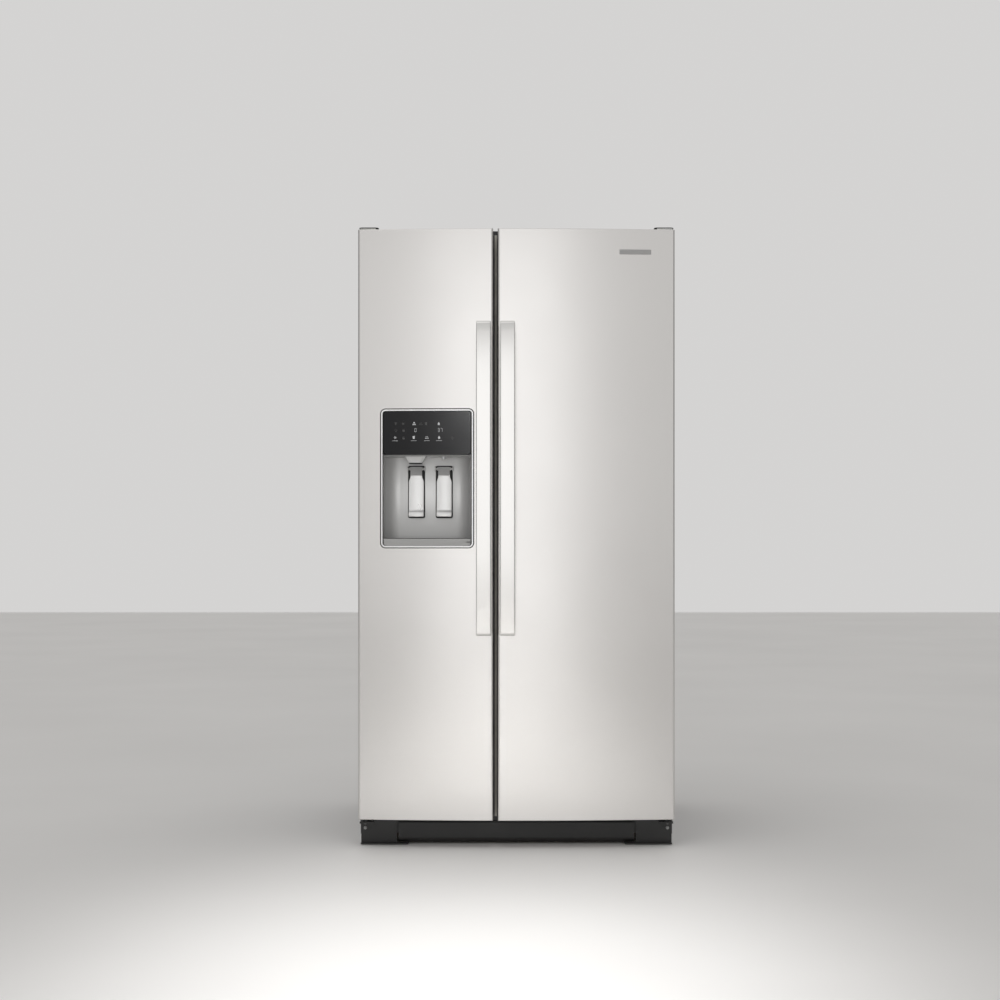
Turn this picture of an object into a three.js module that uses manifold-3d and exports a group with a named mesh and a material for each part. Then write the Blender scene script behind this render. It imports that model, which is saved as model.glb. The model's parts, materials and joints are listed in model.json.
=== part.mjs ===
// Side-by-side refrigerator with an ice and water dispenser in the freezer door.
// Millimetres, +Z up, the doors face -Y, and the origin is on the floor at the centre of the plan.
import * as THREE from "three";
import { mergeVertices } from "three/addons/utils/BufferGeometryUtils.js";
import Module from "manifold-3d";

const wasm = await Module();
wasm.setup();

// ---------------------------------------------------------------- driving dimensions

const WIDTH = 900;
const DEPTH = 857; // front of the handles to the back panel
const CABINET_DEPTH = 725;
const CABINET_WIDTH = 896;
const CABINET_TOP = 1751;
const OVERALL_HEIGHT = 1762;
const DOOR_BOTTOM = 78;
const DOOR_TOP = 1755;
const DOOR_CROWN = 20; // how far the shared arc of the two doors stands out at the middle
const DOOR_GAP = [-66, -53]; // right edge of the freezer door, left edge of the fridge door
const HANDLE_REACH = 54;
const GASKET_SPACE = 12;
const GAP = 0.3; // clearance between pieces that touch
const SHEET = 1.2; // formed steel
const LINER = 2; // vacuum-formed plastic

const BACK = DEPTH / 2;
const CABINET_FRONT = BACK - CABINET_DEPTH;
const DOOR_BACK = CABINET_FRONT - GASKET_SPACE;
const DOOR_FRONT = -DEPTH / 2 + HANDLE_REACH;
const CROWN_RADIUS = (WIDTH ** 2 / 4 + DOOR_CROWN ** 2) / (2 * DOOR_CROWN);
const SIDE = CABINET_WIDTH / 2;

// Inside of the two compartments. Both have a raised floor at the back, over the compressor, and a
// step on the hinge side, which keeps the drawers clear of the inside of the open door.
const FLOOR = 120;
const CEILING = 1680;
const REAR_WALL = 366;
const RAISED_FLOOR_Y = 140;
const RAISED_FLOOR = 350;
const STEP_FRONT = -222;
const FREEZER = { left: -388, right: -91.5, step: { inner: -349, top: 410 } };
const FRIDGE = { left: -27.5, right: 398, step: { inner: 351, top: 523 } };

const HINGE_X = 430;
const HINGE_Y = -330;
const HINGE_PIN = 5;

// Dispenser, set into the freezer door.
const BEZEL = { left: -387, right: -119, bottom: 849, top: 1246 };
const RECESS = { left: -378, right: -128.5, bottom: 856, back: -284 };
const PANEL_BOTTOM = 1114.5;
const LEVER_PIVOT = { y: -292, z: 1078 };
const ICE_X = -288;
const WATER_X = -208;
const CHUTE_Y = -325;

const ROLLER_RADIUS = 21;
const BASE_TOP = 64;

// ---------------------------------------------------------------- materials

const finish = (color, roughness, metalness, opacity = 1) =>
  new THREE.MeshStandardMaterial({ color, roughness, metalness, opacity, transparent: opacity < 1 });

const STAINLESS = finish(0xd8d5d1, 0.32, 1);
const CABINET_PAINT = finish(0x55565a, 0.55, 0.2);
const GALVANISED = finish(0xa9adb0, 0.45, 0.9);
const LINER_WHITE = finish(0xf1f2f1, 0.3, 0);
const FOAM = finish(0xe0d2a0, 0.95, 0);
const GASKET_GREY = finish(0x5d5d5c, 0.8, 0);
const BLACK_PLASTIC = finish(0x161616, 0.5, 0);
const PANEL_BLACK = finish(0x0c0c0d, 0.12, 0);
const DISPENSER_SILVER = finish(0x8d8d8c, 0.35, 0.4);
const LEVER_SILVER = finish(0xdededc, 0.3, 0.5);
const CHUTE_GREY = finish(0xb9bab9, 0.35, 0);
const CLEAR_PLASTIC = finish(0xe6eef0, 0.1, 0, 0.35);
const SHELF_GLASS = finish(0xd8ebe6, 0.05, 0, 0.35);
const MACHINE_BLACK = finish(0x1c1d1f, 0.4, 0.3);
const ALUMINIUM = finish(0xc4c8ca, 0.35, 1);
const NYLON = finish(0xd9d6cc, 0.5, 0);

// ---------------------------------------------------------------- solid helpers

// A closed three.js geometry as a solid that can be joined and cut.
function solid(geometry) {
  const bare = new THREE.BufferGeometry().setAttribute("position", geometry.getAttribute("position"));
  bare.setIndex(geometry.index);
  const merged = mergeVertices(bare, 1e-4);
  const mesh = new wasm.Mesh({
    numProp: 3,
    vertProperties: Float32Array.from(merged.attributes.position.array),
    triVerts: Uint32Array.from(merged.index.array),
  });
  return new wasm.Manifold(mesh);
}

const join = (...solids) => solids.flat().reduce((a, b) => a.add(b));
const cut = (from, ...tools) => tools.flat().reduce((a, b) => a.subtract(b), from);

// A box from its limits along each axis.
function box([x0, x1], [y0, y1], [z0, z1]) {
  const geometry = new THREE.BoxGeometry(x1 - x0, y1 - y0, z1 - z0);
  return solid(geometry.translate((x0 + x1) / 2, (y0 + y1) / 2, (z0 + z1) / 2));
}

// The x limits of a piece given for the right-hand side, on the side asked for: 1 is right, -1 is left.
const onSide = (side, [near, far]) => (side > 0 ? [near, far] : [-far, -near]);

// A cylinder along an axis, from one end to the other, centred on the other two coordinates.
function rod(axis, [from, to], [a, b], radius, sides = 16, endRadius = radius) {
  const geometry = new THREE.CylinderGeometry(endRadius, radius, to - from, sides);
  const middle = (from + to) / 2;
  if (axis === "x") geometry.rotateZ(-Math.PI / 2).translate(middle, a, b);
  if (axis === "y") geometry.translate(a, middle, b);
  if (axis === "z") geometry.rotateX(Math.PI / 2).translate(a, b, middle);
  return solid(geometry);
}

// A flat outline extruded along an axis: x takes (y, z) points, y takes (x, z) and z takes (x, y).
function prism(axis, outline, [from, to]) {
  const points = (list) => list.map(([a, b]) => new THREE.Vector2(a, b));
  const shape = Array.isArray(outline) ? new THREE.Shape(points(outline)) : outline;
  const settings = { depth: to - from, bevelEnabled: false, curveSegments: 6 };
  const geometry = new THREE.ExtrudeGeometry(shape, settings);
  const basis = new THREE.Matrix4();
  if (axis === "x") {
    basis.makeBasis(new THREE.Vector3(0, 1, 0), new THREE.Vector3(0, 0, 1), new THREE.Vector3(1, 0, 0));
    basis.setPosition(from, 0, 0);
  }
  if (axis === "y") {
    basis.makeBasis(new THREE.Vector3(1, 0, 0), new THREE.Vector3(0, 0, 1), new THREE.Vector3(0, -1, 0));
    basis.setPosition(0, to, 0);
  }
  if (axis === "z") basis.setPosition(0, 0, from);
  return solid(geometry.applyMatrix4(basis));
}

// A rectangle with rounded corners, as a shape for prism().
function roundedRectangle([a0, a1], [b0, b1], radius) {
  const shape = new THREE.Shape();
  shape.moveTo(a0 + radius, b0);
  shape.lineTo(a1 - radius, b0);
  shape.absarc(a1 - radius, b0 + radius, radius, -Math.PI / 2, 0);
  shape.lineTo(a1, b1 - radius);
  shape.absarc(a1 - radius, b1 - radius, radius, 0, Math.PI / 2);
  shape.lineTo(a0 + radius, b1);
  shape.absarc(a0 + radius, b1 - radius, radius, Math.PI / 2, Math.PI);
  shape.lineTo(a0, b0 + radius);
  shape.absarc(a0 + radius, b0 + radius, radius, Math.PI, 1.5 * Math.PI);
  return shape;
}

// A straight-sided funnel between two rectangles, each {x, y, z} for its centre with half sizes {w, d}.
function taper(low, high) {
  const corners = [low, high].flatMap((r) => [
    [r.x - r.w, r.y - r.d, r.z],
    [r.x + r.w, r.y - r.d, r.z],
    [r.x + r.w, r.y + r.d, r.z],
    [r.x - r.w, r.y + r.d, r.z],
  ]);
  const ends = [0, 2, 1, 0, 3, 2, 4, 5, 6, 4, 6, 7];
  const sides = [0, 1, 2, 3].flatMap((i) => {
    const next = (i + 1) % 4;
    return [i, next, next + 4, i, next + 4, i + 4];
  });
  const geometry = new THREE.BufferGeometry();
  geometry.setAttribute("position", new THREE.Float32BufferAttribute(corners.flat(), 3));
  return solid(geometry.setIndex([...ends, ...sides]));
}

// A named mesh from a solid that was modelled around the given origin.
function mesh(name, from, material, x = 0, y = 0, z = 0) {
  const { vertProperties, triVerts } = from.getMesh();
  const geometry = new THREE.BufferGeometry();
  geometry.setAttribute("position", new THREE.BufferAttribute(Float32Array.from(vertProperties), 3));
  geometry.setIndex(new THREE.BufferAttribute(Uint32Array.from(triVerts), 1));
  geometry.computeVertexNormals();
  const made = new THREE.Mesh(geometry, material);
  made.name = name;
  made.position.set(x, y, z);
  return made;
}

// A group standing at a point of the refrigerator's frame, with meshes that were placed in that frame.
function groupAt([x, y, z], ...meshes) {
  const group = new THREE.Group();
  group.position.set(x, y, z);
  for (const child of meshes.flat()) {
    child.position.sub(group.position);
    group.add(child);
  }
  return group;
}

// ---------------------------------------------------------------- the doors' shared arc

const faceY = (x, inset = 0) =>
  DOOR_FRONT + CROWN_RADIUS - Math.sqrt((CROWN_RADIUS - inset) ** 2 - x ** 2);

// Points along the arc between two x positions.
function facePoints(x0, x1, inset) {
  const steps = Math.max(2, Math.ceil(Math.abs(x1 - x0) / 40));
  return Array.from({ length: steps + 1 }, (_, i) => {
    const x = x0 + ((x1 - x0) * i) / steps;
    return [x, faceY(x, inset)];
  });
}

// A door's plan: straight sides, rounded front corners and the arc between them.
function doorPlan(x0, x1, inset, backY, radius) {
  const corner = (cx, cy, start) =>
    Array.from({ length: 5 }, (_, i) => {
      const a = start + (i * Math.PI) / 8;
      return [cx + radius * Math.cos(a), cy + radius * Math.sin(a)];
    });
  const leftY = faceY(x0 + radius, inset) + radius;
  const rightY = faceY(x1 - radius, inset) + radius;
  return [
    [x0, backY],
    ...corner(x0 + radius, leftY, Math.PI),
    ...facePoints(x0 + radius, x1 - radius, inset).slice(1, -1),
    ...corner(x1 - radius, rightY, 1.5 * Math.PI),
    [x1, backY],
  ];
}

// The slab between two insets of the arc, which gives trim the curve of the door it sits in.
function faceSlab([x0, x1], [outer, inner], [z0, z1]) {
  return prism("z", [...facePoints(x0, x1, outer), ...facePoints(x1, x0, inner)], [z0, z1]);
}

// ---------------------------------------------------------------- cabinet

// The room inside a compartment, grown outwards on every side but the front.
function compartmentSpace({ left, right, step }, grow) {
  const x = [left - grow, right + grow];
  const top = CEILING + grow;
  const stepX = step.inner > 0 ? [step.inner + grow, right + grow + 1] : [left - grow - 1, step.inner - grow];
  const whole = join(
    box(x, [CABINET_FRONT - 10, RAISED_FLOOR_Y + grow], [FLOOR - grow, top]),
    box(x, [CABINET_FRONT - 10, REAR_WALL + grow], [RAISED_FLOOR - grow, top]),
  );
  return cut(whole, box(stepX, [STEP_FRONT + grow, REAR_WALL + grow + 1], [0, step.top - grow]));
}

const WRAPPER_BOTTOM = 28;
const FRAME_BACK = CABINET_FRONT + SHEET;
const FOAM_BOTTOM = 66;
const MACHINE_ROOM = { front: 180, top: 310 };
const BACK_SHEET_FRONT = BACK - 1.5;

// Painted steel: two sides, the top, and the front frame that the gaskets close on.
function cabinetWrapper() {
  const outer = box([-SIDE, SIDE], [CABINET_FRONT, BACK_SHEET_FRONT - GAP], [WRAPPER_BOTTOM, CABINET_TOP]);
  const hollow = box([-SIDE + SHEET, SIDE - SHEET], [FRAME_BACK, BACK + 1], [0, CABINET_TOP - SHEET]);
  const toeSpace = box([-SIDE + SHEET, SIDE - SHEET], [CABINET_FRONT - 1, 0], [0, FOAM_BOTTOM]);
  return mesh(
    "cabinet_wrapper",
    cut(outer, hollow, toeSpace, compartmentSpace(FREEZER, 0), compartmentSpace(FRIDGE, 0)),
    CABINET_PAINT,
  );
}

// Insulation between the wrapper and the liners, stepped at the back for the compressor.
function cabinetFoam() {
  const x = SIDE - SHEET - GAP;
  const y = [FRAME_BACK + GAP, BACK_SHEET_FRONT - 2 * GAP];
  const outer = box([-x, x], y, [FOAM_BOTTOM, CABINET_TOP - SHEET - GAP]);
  const machineRoom = box([-SIDE, SIDE], [MACHINE_ROOM.front, BACK], [0, MACHINE_ROOM.top]);
  const clearance = LINER + GAP;
  return mesh(
    "cabinet_foam",
    cut(outer, machineRoom, compartmentSpace(FREEZER, clearance), compartmentSpace(FRIDGE, clearance)),
    FOAM,
  );
}

// A thin liner with ledges: each ledge is [x0, x1, y1, z0, z1] and starts just behind the front frame.
function liner(compartment, ledges) {
  const front = box([-WIDTH, WIDTH], [CABINET_FRONT - 20, FRAME_BACK + GAP], [0, CABINET_TOP]);
  const shell = cut(compartmentSpace(compartment, LINER), compartmentSpace(compartment, 0), front);
  const made = ledges.map(([x0, x1, y1, z0, z1]) => box([x0, x1], [LEDGE_FRONT, y1], [z0, z1]));
  return join(shell, made);
}

const LEDGE_FRONT = -200;
const LEDGE = 7; // how far a shelf ledge stands out of the wall
const LEDGE_DROP = 8;
const SHELF_BACK = 322;
const SHELF_FRONT = -175;

const sideLedges = ({ left, right }, y1, top) => [
  [left - 1, left + LEDGE, y1, top - LEDGE_DROP, top],
  [right - LEDGE, right + 1, y1, top - LEDGE_DROP, top],
];

const FREEZER_SHELVES = { upper: 1180, lower: 820 };
const FRIDGE_SHELVES = { upper: 1240, middle: 905 };
const CRISPER_COVER = 532;

const DRAWERS = {
  crisper_lower: { left: -20, right: 344, bottom: 126, top: 338, back: 128 },
  crisper_upper: { left: -20, right: 344, bottom: 356, top: 520, back: 330 },
  deli_drawer: { left: 0, right: 344, bottom: 792, top: 894, back: 240 },
  freezer_basket: { left: -342, right: -99, bottom: 126, top: 400, back: 128 },
};
const RIM = 4;
const RIM_DEPTH = 6;

// The two ledges that a drawer's rim rides on.
function drawerLedges({ left, right, top, back }, wallLeft, wallRight) {
  const z = top - RIM_DEPTH - GAP;
  return [
    [wallLeft - 1, left - 1, back, z - LEDGE_DROP, z],
    [right + 1, wallRight + 1, back, z - LEDGE_DROP, z],
  ];
}

function freezerLiner() {
  return mesh(
    "freezer_liner",
    liner(FREEZER, [
      ...Object.values(FREEZER_SHELVES).flatMap((top) => sideLedges(FREEZER, SHELF_BACK, top - GAP)),
      ...drawerLedges(DRAWERS.freezer_basket, FREEZER.step.inner, FREEZER.right),
    ]),
    LINER_WHITE,
  );
}

const FILTER = { x: 352, z: 1642, radius: 29, front: -150, back: 130 };

// Two half-round saddles under the ceiling, which the water filter turns in.
const filterSaddles = () =>
  [-70, 60].map((y) =>
    cut(
      box([FILTER.x - 38, FILTER.x + 38], [y, y + 6], [FILTER.z, CEILING + 1]),
      rod("y", [y - 1, y + 7], [FILTER.x, FILTER.z], FILTER.radius + 0.6, 24),
    ),
  );

function freshFoodLiner() {
  const made = liner(FRIDGE, [
    ...Object.values(FRIDGE_SHELVES).flatMap((top) => sideLedges(FRIDGE, SHELF_BACK, top - GAP)),
    ...sideLedges(FRIDGE, SHELF_BACK, CRISPER_COVER - GAP),
    ...drawerLedges(DRAWERS.crisper_lower, FRIDGE.left, FRIDGE.step.inner),
    ...drawerLedges(DRAWERS.crisper_upper, FRIDGE.left, FRIDGE.step.inner),
  ]);
  return mesh("fresh_food_liner", join(made, filterSaddles()), LINER_WHITE);
}

// Flat sheet with pressed ribs, over the foam only.
function backPanel() {
  const x = SIDE - SHEET - GAP;
  const z = [MACHINE_ROOM.top + 12, CABINET_TOP - SHEET - GAP];
  const sheet = box([-x, x], [BACK_SHEET_FRONT, BACK - 0.7], z);
  const ribs = [-300, -100, 100, 300].map((centre) =>
    box([centre - 12, centre + 12], [BACK - 1, BACK], [MACHINE_ROOM.top + 60, CABINET_TOP - 60]),
  );
  return mesh("back_panel", join(sheet, ribs), GALVANISED);
}

// ---------------------------------------------------------------- base

const RAIL = { inner: 404, outer: 446, wall: 4, bottom: 10 };
const DECK_FRONT = 186;
const BASE_BACK = 424;
const FRONT_AXLE = { y: -228, z: 24 }; // the legs carry the front, so these rollers hang 3 mm clear
const REAR_AXLE = { y: 376, z: ROLLER_RADIUS };
const AXLE_RADIUS = 4;
const LEG = { x: 423, y: -270, stem: 6 };
const LEG_BLOCK = { front: -293, back: -254, bottom: 38 };

// Two inverted channels for the rollers, the threaded blocks of the legs, a front beam, and a rear deck
// with a plate up each side of the compressor's room.
function baseFrame() {
  const sides = [-1, 1].map((side) => {
    const x = onSide(side, [RAIL.inner, RAIL.outer]);
    const innerX = onSide(side, [RAIL.inner + RAIL.wall, RAIL.outer - RAIL.wall]);
    const rail = box(x, [LEG_BLOCK.back - 1, BASE_BACK], [RAIL.bottom, BASE_TOP]);
    const channel = box(innerX, [LEG_BLOCK.back - 2, BASE_BACK + 1], [0, BASE_TOP - 3]);
    const axleHoles = [FRONT_AXLE, REAR_AXLE].map(({ y, z }) =>
      rod("x", onSide(side, [RAIL.inner - 1, RAIL.outer + 1]), [y, z], AXLE_RADIUS + 0.5, 12),
    );
    const block = box(x, [LEG_BLOCK.front, LEG_BLOCK.back], [LEG_BLOCK.bottom, BASE_TOP]);
    const plateX = onSide(side, [RAIL.outer - 2.5, RAIL.outer]);
    const plate = box(plateX, [DECK_FRONT, BASE_BACK], [BASE_TOP - 1, MACHINE_ROOM.top - 5]);
    const thread = rod("z", [0, BASE_TOP + 1], [side * LEG.x, LEG.y], LEG.stem + 0.5, 12);
    return cut(join(cut(rail, channel, axleHoles), block, plate), thread);
  });
  const span = [-RAIL.inner - 1, RAIL.inner + 1];
  const beam = box(span, [LEG_BLOCK.front + 13, LEG_BLOCK.front + 16], [RAIL.bottom + 20, BASE_TOP]);
  const deck = box(span, [DECK_FRONT, BASE_BACK], [BASE_TOP - 3, BASE_TOP]);
  return mesh("base_frame", join(sides, beam, deck), GALVANISED);
}

// A wheel on its own axle, around its centre, turning about X.
function roller(name, side, { y, z }) {
  const tyre = rod("x", [-12, 12], [0, 0], ROLLER_RADIUS, 24);
  const axle = rod("x", [-20, 20], [0, 0], AXLE_RADIUS, 12);
  return mesh(name, join(tyre, axle), NYLON, side * ((RAIL.inner + RAIL.outer) / 2), y, z);
}

// A threaded stem on a hexagonal foot, around the point where it stands.
function levelingLeg(name, side) {
  const foot = rod("z", [0, 9], [0, 0], 15, 6);
  const stem = rod("z", [8, 60], [0, 0], LEG.stem, 12);
  return mesh(name, join(foot, stem), GALVANISED, side * LEG.x, LEG.y, 0);
}

// Kick plate between the two brackets, rolled back at its lower edge.
function baseGrille() {
  const flange = [[-297, 76], [-299, 76]];
  const outside = [[-299, 69], [-305, 66], [-308, 56], [-308, 32], [-305, 17], [-299, 8], [-293, 6]];
  const inside = [[-293, 9], [-298, 11], [-302, 19], [-305, 33], [-305, 55], [-303, 63], [-297, 66]];
  return mesh("base_grille", prism("x", [...flange, ...outside, ...inside], [-338, 338]), BLACK_PLASTIC);
}

// ---------------------------------------------------------------- hinges

// Bracket on the front of the base with an arm, a bush and a pin under the door.
function lowerHinge(name, side) {
  const plate = box(onSide(side, [343, 446]), [-300, CABINET_FRONT - GAP], [2, 70]);
  const toe = box(onSide(side, [310, 446]), [-316, CABINET_FRONT - GAP], [2, 5.5]);
  const arm = box(onSide(side, [408, 446]), [HINGE_Y - 16, CABINET_FRONT - GAP], [66, 71]);
  const bush = rod("z", [70, DOOR_BOTTOM - GAP], [side * HINGE_X, HINGE_Y], 10, 16);
  const pin = rod("z", [70, DOOR_BOTTOM + 16], [side * HINGE_X, HINGE_Y], HINGE_PIN, 16);
  return mesh(name, join(plate, toe, arm, bush, pin), MACHINE_BLACK);
}

// Plate that stands on the cabinet and reaches over the door, with a pin down into it.
const UPPER_PLATE = [DOOR_TOP + 1.5, DOOR_TOP + 4.5];
function upperHinge(name, side) {
  const plate = box(onSide(side, [400, 444]), [HINGE_Y - 16, -215], UPPER_PLATE);
  const legs = [[400, 404], [440, 444]].map(([a, b]) =>
    box(onSide(side, [a, b]), [-285, -215], [CABINET_TOP + GAP, UPPER_PLATE[1]]),
  );
  const foot = box(onSide(side, [400, 444]), [-285, -215], [CABINET_TOP + GAP, CABINET_TOP + 3]);
  const pin = rod("z", [DOOR_TOP - 16, UPPER_PLATE[1]], [side * HINGE_X, HINGE_Y], HINGE_PIN, 16);
  return mesh(name, join(plate, legs, foot, pin), GALVANISED);
}

function hingeCover(name, side) {
  const outer = box(onSide(side, [392, 447.5]), [-292, -205], [CABINET_TOP + GAP, OVERALL_HEIGHT]);
  const hollow = box(onSide(side, [394, 445.5]), [-290, -207], [CABINET_TOP, OVERALL_HEIGHT - 2]);
  const mouth = box(onSide(side, [396, 445.5]), [-293, -289], [CABINET_TOP, OVERALL_HEIGHT - 2]);
  const lid = box(onSide(side, [392, 447.5]), [HINGE_Y - 18, -291], [OVERALL_HEIGHT - 2, OVERALL_HEIGHT]);
  return mesh(name, join(cut(outer, hollow, mouth), lid), BLACK_PLASTIC);
}

// ---------------------------------------------------------------- refrigeration

// Welded steel shell, around the centre of its base.
function compressor() {
  const profile = [
    [0, 10], [58, 12], [76, 28], [84, 55], [84, 92], [76, 124], [54, 146], [0, 154],
  ].map(([r, z]) => new THREE.Vector2(r, z));
  const shell = solid(new THREE.LatheGeometry(profile, 20).rotateX(Math.PI / 2));
  const plate = box([-95, 95], [-70, 70], [0, 11]);
  const terminalBox = box([-100, -78], [-32, 32], [50, 108]);
  return mesh("compressor", join(shell, plate, terminalBox), MACHINE_BLACK, 250, 310, BASE_TOP + GAP);
}

// Finned block on two headers, around its lower left front corner.
function condenserCoil() {
  const fins = Array.from({ length: 7 }, (_, i) => box([i * 27, i * 27 + 2], [0, 110], [0, 150]));
  const tubes = [30, 75, 120].map((z) => rod("x", [-12, 176], [55, z], 5, 8));
  return mesh("condenser_coil", join(fins, tubes), ALUMINIUM, -380, 220, BASE_TOP + 1);
}

function evaporatorCoil() {
  const fins = Array.from({ length: 8 }, (_, i) => box([i * 31, i * 31 + 2], [0, 24], [0, 300]));
  const tubes = [50, 150, 250].map((z) => rod("x", [-8, 227], [12, z], 4.5, 8));
  return mesh("evaporator_coil", join(fins, tubes), ALUMINIUM, -351, 340, 430);
}

// Fan blades pitched on a hub, around its centre, turning about the given axis.
function fan(name, axis, radius, [x, y, z]) {
  const hub = rod("z", [-9, 9], [0, 0], radius * 0.28, 16);
  const blade = new THREE.BoxGeometry(radius * 0.78, radius * 0.5, 2.5);
  blade.rotateX(0.45).translate(radius * 0.6, 0, 0);
  const blades = Array.from({ length: 5 }, (_, i) => solid(blade.clone().rotateZ((i * 2 * Math.PI) / 5)));
  const made = mesh(name, join(hub, blades), BLACK_PLASTIC, x, y, z);
  if (axis === "x") made.rotation.y = Math.PI / 2;
  if (axis === "y") made.rotation.x = Math.PI / 2;
  return made;
}

const COVER_FACE = 326;
const FAN_CENTRE = { x: (FREEZER.left + FREEZER.right) / 2, z: 1300 };

// The freezer's rear wall, in front of the evaporator and its fan.
function evaporatorCover() {
  const z = [FREEZER.step.top + 4, CEILING - 2];
  const sheet = box([FREEZER.left + 2, FREEZER.right - 2], [COVER_FACE, COVER_FACE + 3], z);
  const y = [COVER_FACE - 1, COVER_FACE + 4];
  const slot = (centre, half) =>
    box([FAN_CENTRE.x - half, FAN_CENTRE.x + half], y, [centre - 5, centre + 5]);
  const fanSlots = [-40, -20, 0, 20, 40].map((drop) => slot(FAN_CENTRE.z + drop, 55));
  const returnSlots = [440, 462].map((height) => slot(height, 100));
  return mesh("evaporator_cover", cut(sheet, fanSlots, returnSlots), LINER_WHITE);
}

// Perforated cover over the compressor, on the back.
function machineCover() {
  const sheet = box([-SIDE + 3, SIDE - 3], [BACK_SHEET_FRONT, BACK], [30, MACHINE_ROOM.top + 10]);
  const slots = [-300, -100, 100, 300].flatMap((x) =>
    [90, 130, 170, 210].map((z) => box([x - 80, x + 80], [BACK - 5, BACK + 5], [z - 4, z + 4])),
  );
  return mesh("machine_cover", cut(sheet, slots), BLACK_PLASTIC);
}

// ---------------------------------------------------------------- inside the compartments

// A plate with a deeper front trim, and any rails under it, around the middle of its front lower edge.
function shelf(name, { left, right }, z, material, rails = []) {
  const half = (right - left) / 2 - 1;
  const plate = box([-half, half], [0, SHELF_BACK - SHELF_FRONT], [0, 6]);
  const trim = box([-half + LEDGE + 1, half - LEDGE - 1], [0, 14], [-8, 12]);
  return mesh(name, join(plate, trim, rails), material, (left + right) / 2, SHELF_FRONT, z);
}

// Hooked rails under the middle shelf, in that shelf's own frame, for the deli drawer's rim.
function deliRails() {
  const { left, right, top, back } = DRAWERS.deli_drawer;
  const middle = (FRIDGE.left + FRIDGE.right) / 2;
  const y = [20, back - SHELF_FRONT];
  const foot = top - RIM_DEPTH - GAP - FRIDGE_SHELVES.middle;
  return [
    box([left - RIM - 5 - middle, left - RIM - 2 - middle], y, [foot - 5, 1]),
    box([left - RIM - 3 - middle, left - 1 - middle], y, [foot - 5, foot]),
    box([right + RIM + 2 - middle, right + RIM + 5 - middle], y, [foot - 5, 1]),
    box([right + 1 - middle, right + RIM + 3 - middle], y, [foot - 5, foot]),
  ];
}

// An open-topped drawer with a rim and a thicker front, around the middle of its front lower edge.
function drawer(name, { left, right, bottom, top, back }, material) {
  const half = (right - left) / 2;
  const height = top - bottom;
  const depth = back - SHELF_FRONT - 4;
  const tub = box([-half, half], [0, depth], [0, height]);
  const rim = box([-half - RIM, half + RIM], [4, depth], [height - RIM_DEPTH, height]);
  const hollow = box([-half + 3, half - 3], [9, depth - 3], [3, height + 1]);
  const grip = box([-half * 0.55, half * 0.55], [-14, 1], [height - 26, height - 18]);
  const made = join(cut(join(tub, rim), hollow), grip);
  return mesh(name, made, material, (left + right) / 2, SHELF_FRONT, bottom);
}

// Body, mould and motor box of the icemaker, under the freezer's ceiling.
function icemaker() {
  const body = box([-372, -150], [-190, -60], [1590, CEILING - GAP]);
  const mould = rod("x", [-368, -190], [-125, 1592], 44, 16);
  const motor = box([-190, -132], [-196, -54], [1552, CEILING - GAP]);
  return mesh("icemaker", join(body, mould, motor), LINER_WHITE);
}

// Cartridge with a grip on its front cap, around the front end of its axis.
function waterFilter() {
  const { x, z, radius, front, back } = FILTER;
  const body = rod("y", [0, back - front], [0, 0], radius, 24);
  const cap = rod("y", [-10, 1], [0, 0], radius + 4, 24);
  const grip = box([-24, 24], [-22, -9], [-5, 5]);
  return mesh("water_filter", join(body, cap, grip), LINER_WHITE, x, front, z);
}

// ---------------------------------------------------------------- doors

const SKIN_CORNER = 6;
const hingeBore = (side) => rod("z", [0, OVERALL_HEIGHT], [side * HINGE_X, HINGE_Y], HINGE_PIN + 0.5, 16);
const hingeEnds = join(
  box([-WIDTH, WIDTH], [-WIDTH, 0], [0, DOOR_BOTTOM + 20]),
  box([-WIDTH, WIDTH], [-WIDTH, 0], [DOOR_TOP - 20, OVERALL_HEIGHT]),
);
const doorSockets = (side) => hingeBore(side).intersect(hingeEnds);

// Stainless pan: crowned front, folded sides, top and bottom, open at the back.
function doorSkin(name, side, [x0, x1], openings = []) {
  const outer = prism("z", doorPlan(x0, x1, 0, DOOR_BACK, SKIN_CORNER), [DOOR_BOTTOM, DOOR_TOP]);
  const inner = prism(
    "z",
    doorPlan(x0 + SHEET, x1 - SHEET, SHEET, DOOR_BACK + 1, SKIN_CORNER - SHEET),
    [DOOR_BOTTOM + SHEET, DOOR_TOP - SHEET],
  );
  return mesh(name, cut(outer, inner, doorSockets(side), openings), STAINLESS);
}

const DYKE_WALL = 22;
const DYKE_BACK = -270;
const DYKES = {
  freezer: { left: -377, right: -104, bottom: 135, top: 1665 },
  fridge: { left: -14, right: 386, bottom: 135, top: 1665 },
};

// Foamed inner door: fills the skin and carries the raised frame that holds the bins.
function doorInner(x0, x1, side, { left, right, bottom, top }) {
  const inset = SHEET + GAP;
  const core = prism(
    "z",
    doorPlan(x0 + inset, x1 - inset, inset, DOOR_BACK, SKIN_CORNER - inset),
    [DOOR_BOTTOM + inset, DOOR_TOP - inset],
  );
  const frame = cut(
    box([left, right], [DOOR_BACK - 1, DYKE_BACK], [bottom, top]),
    box([left + DYKE_WALL, right - DYKE_WALL], [DOOR_BACK, 0], [bottom + DYKE_WALL, top - DYKE_WALL]),
  );
  return cut(join(core, frame), doorSockets(side));
}

// Magnetic seal, a plain ring between the inner door and the front frame.
const GASKET_WIDTH = 16;
function gasket(name, [x0, x1], [z0, z1]) {
  const y = [DOOR_BACK + GAP, CABINET_FRONT - GAP];
  const ring = cut(
    box([x0, x1], y, [z0, z1]),
    box([x0 + GASKET_WIDTH, x1 - GASKET_WIDTH], [DOOR_BACK, 0], [z0 + GASKET_WIDTH, z1 - GASKET_WIDTH]),
  );
  return mesh(name, ring, GASKET_GREY);
}

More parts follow.
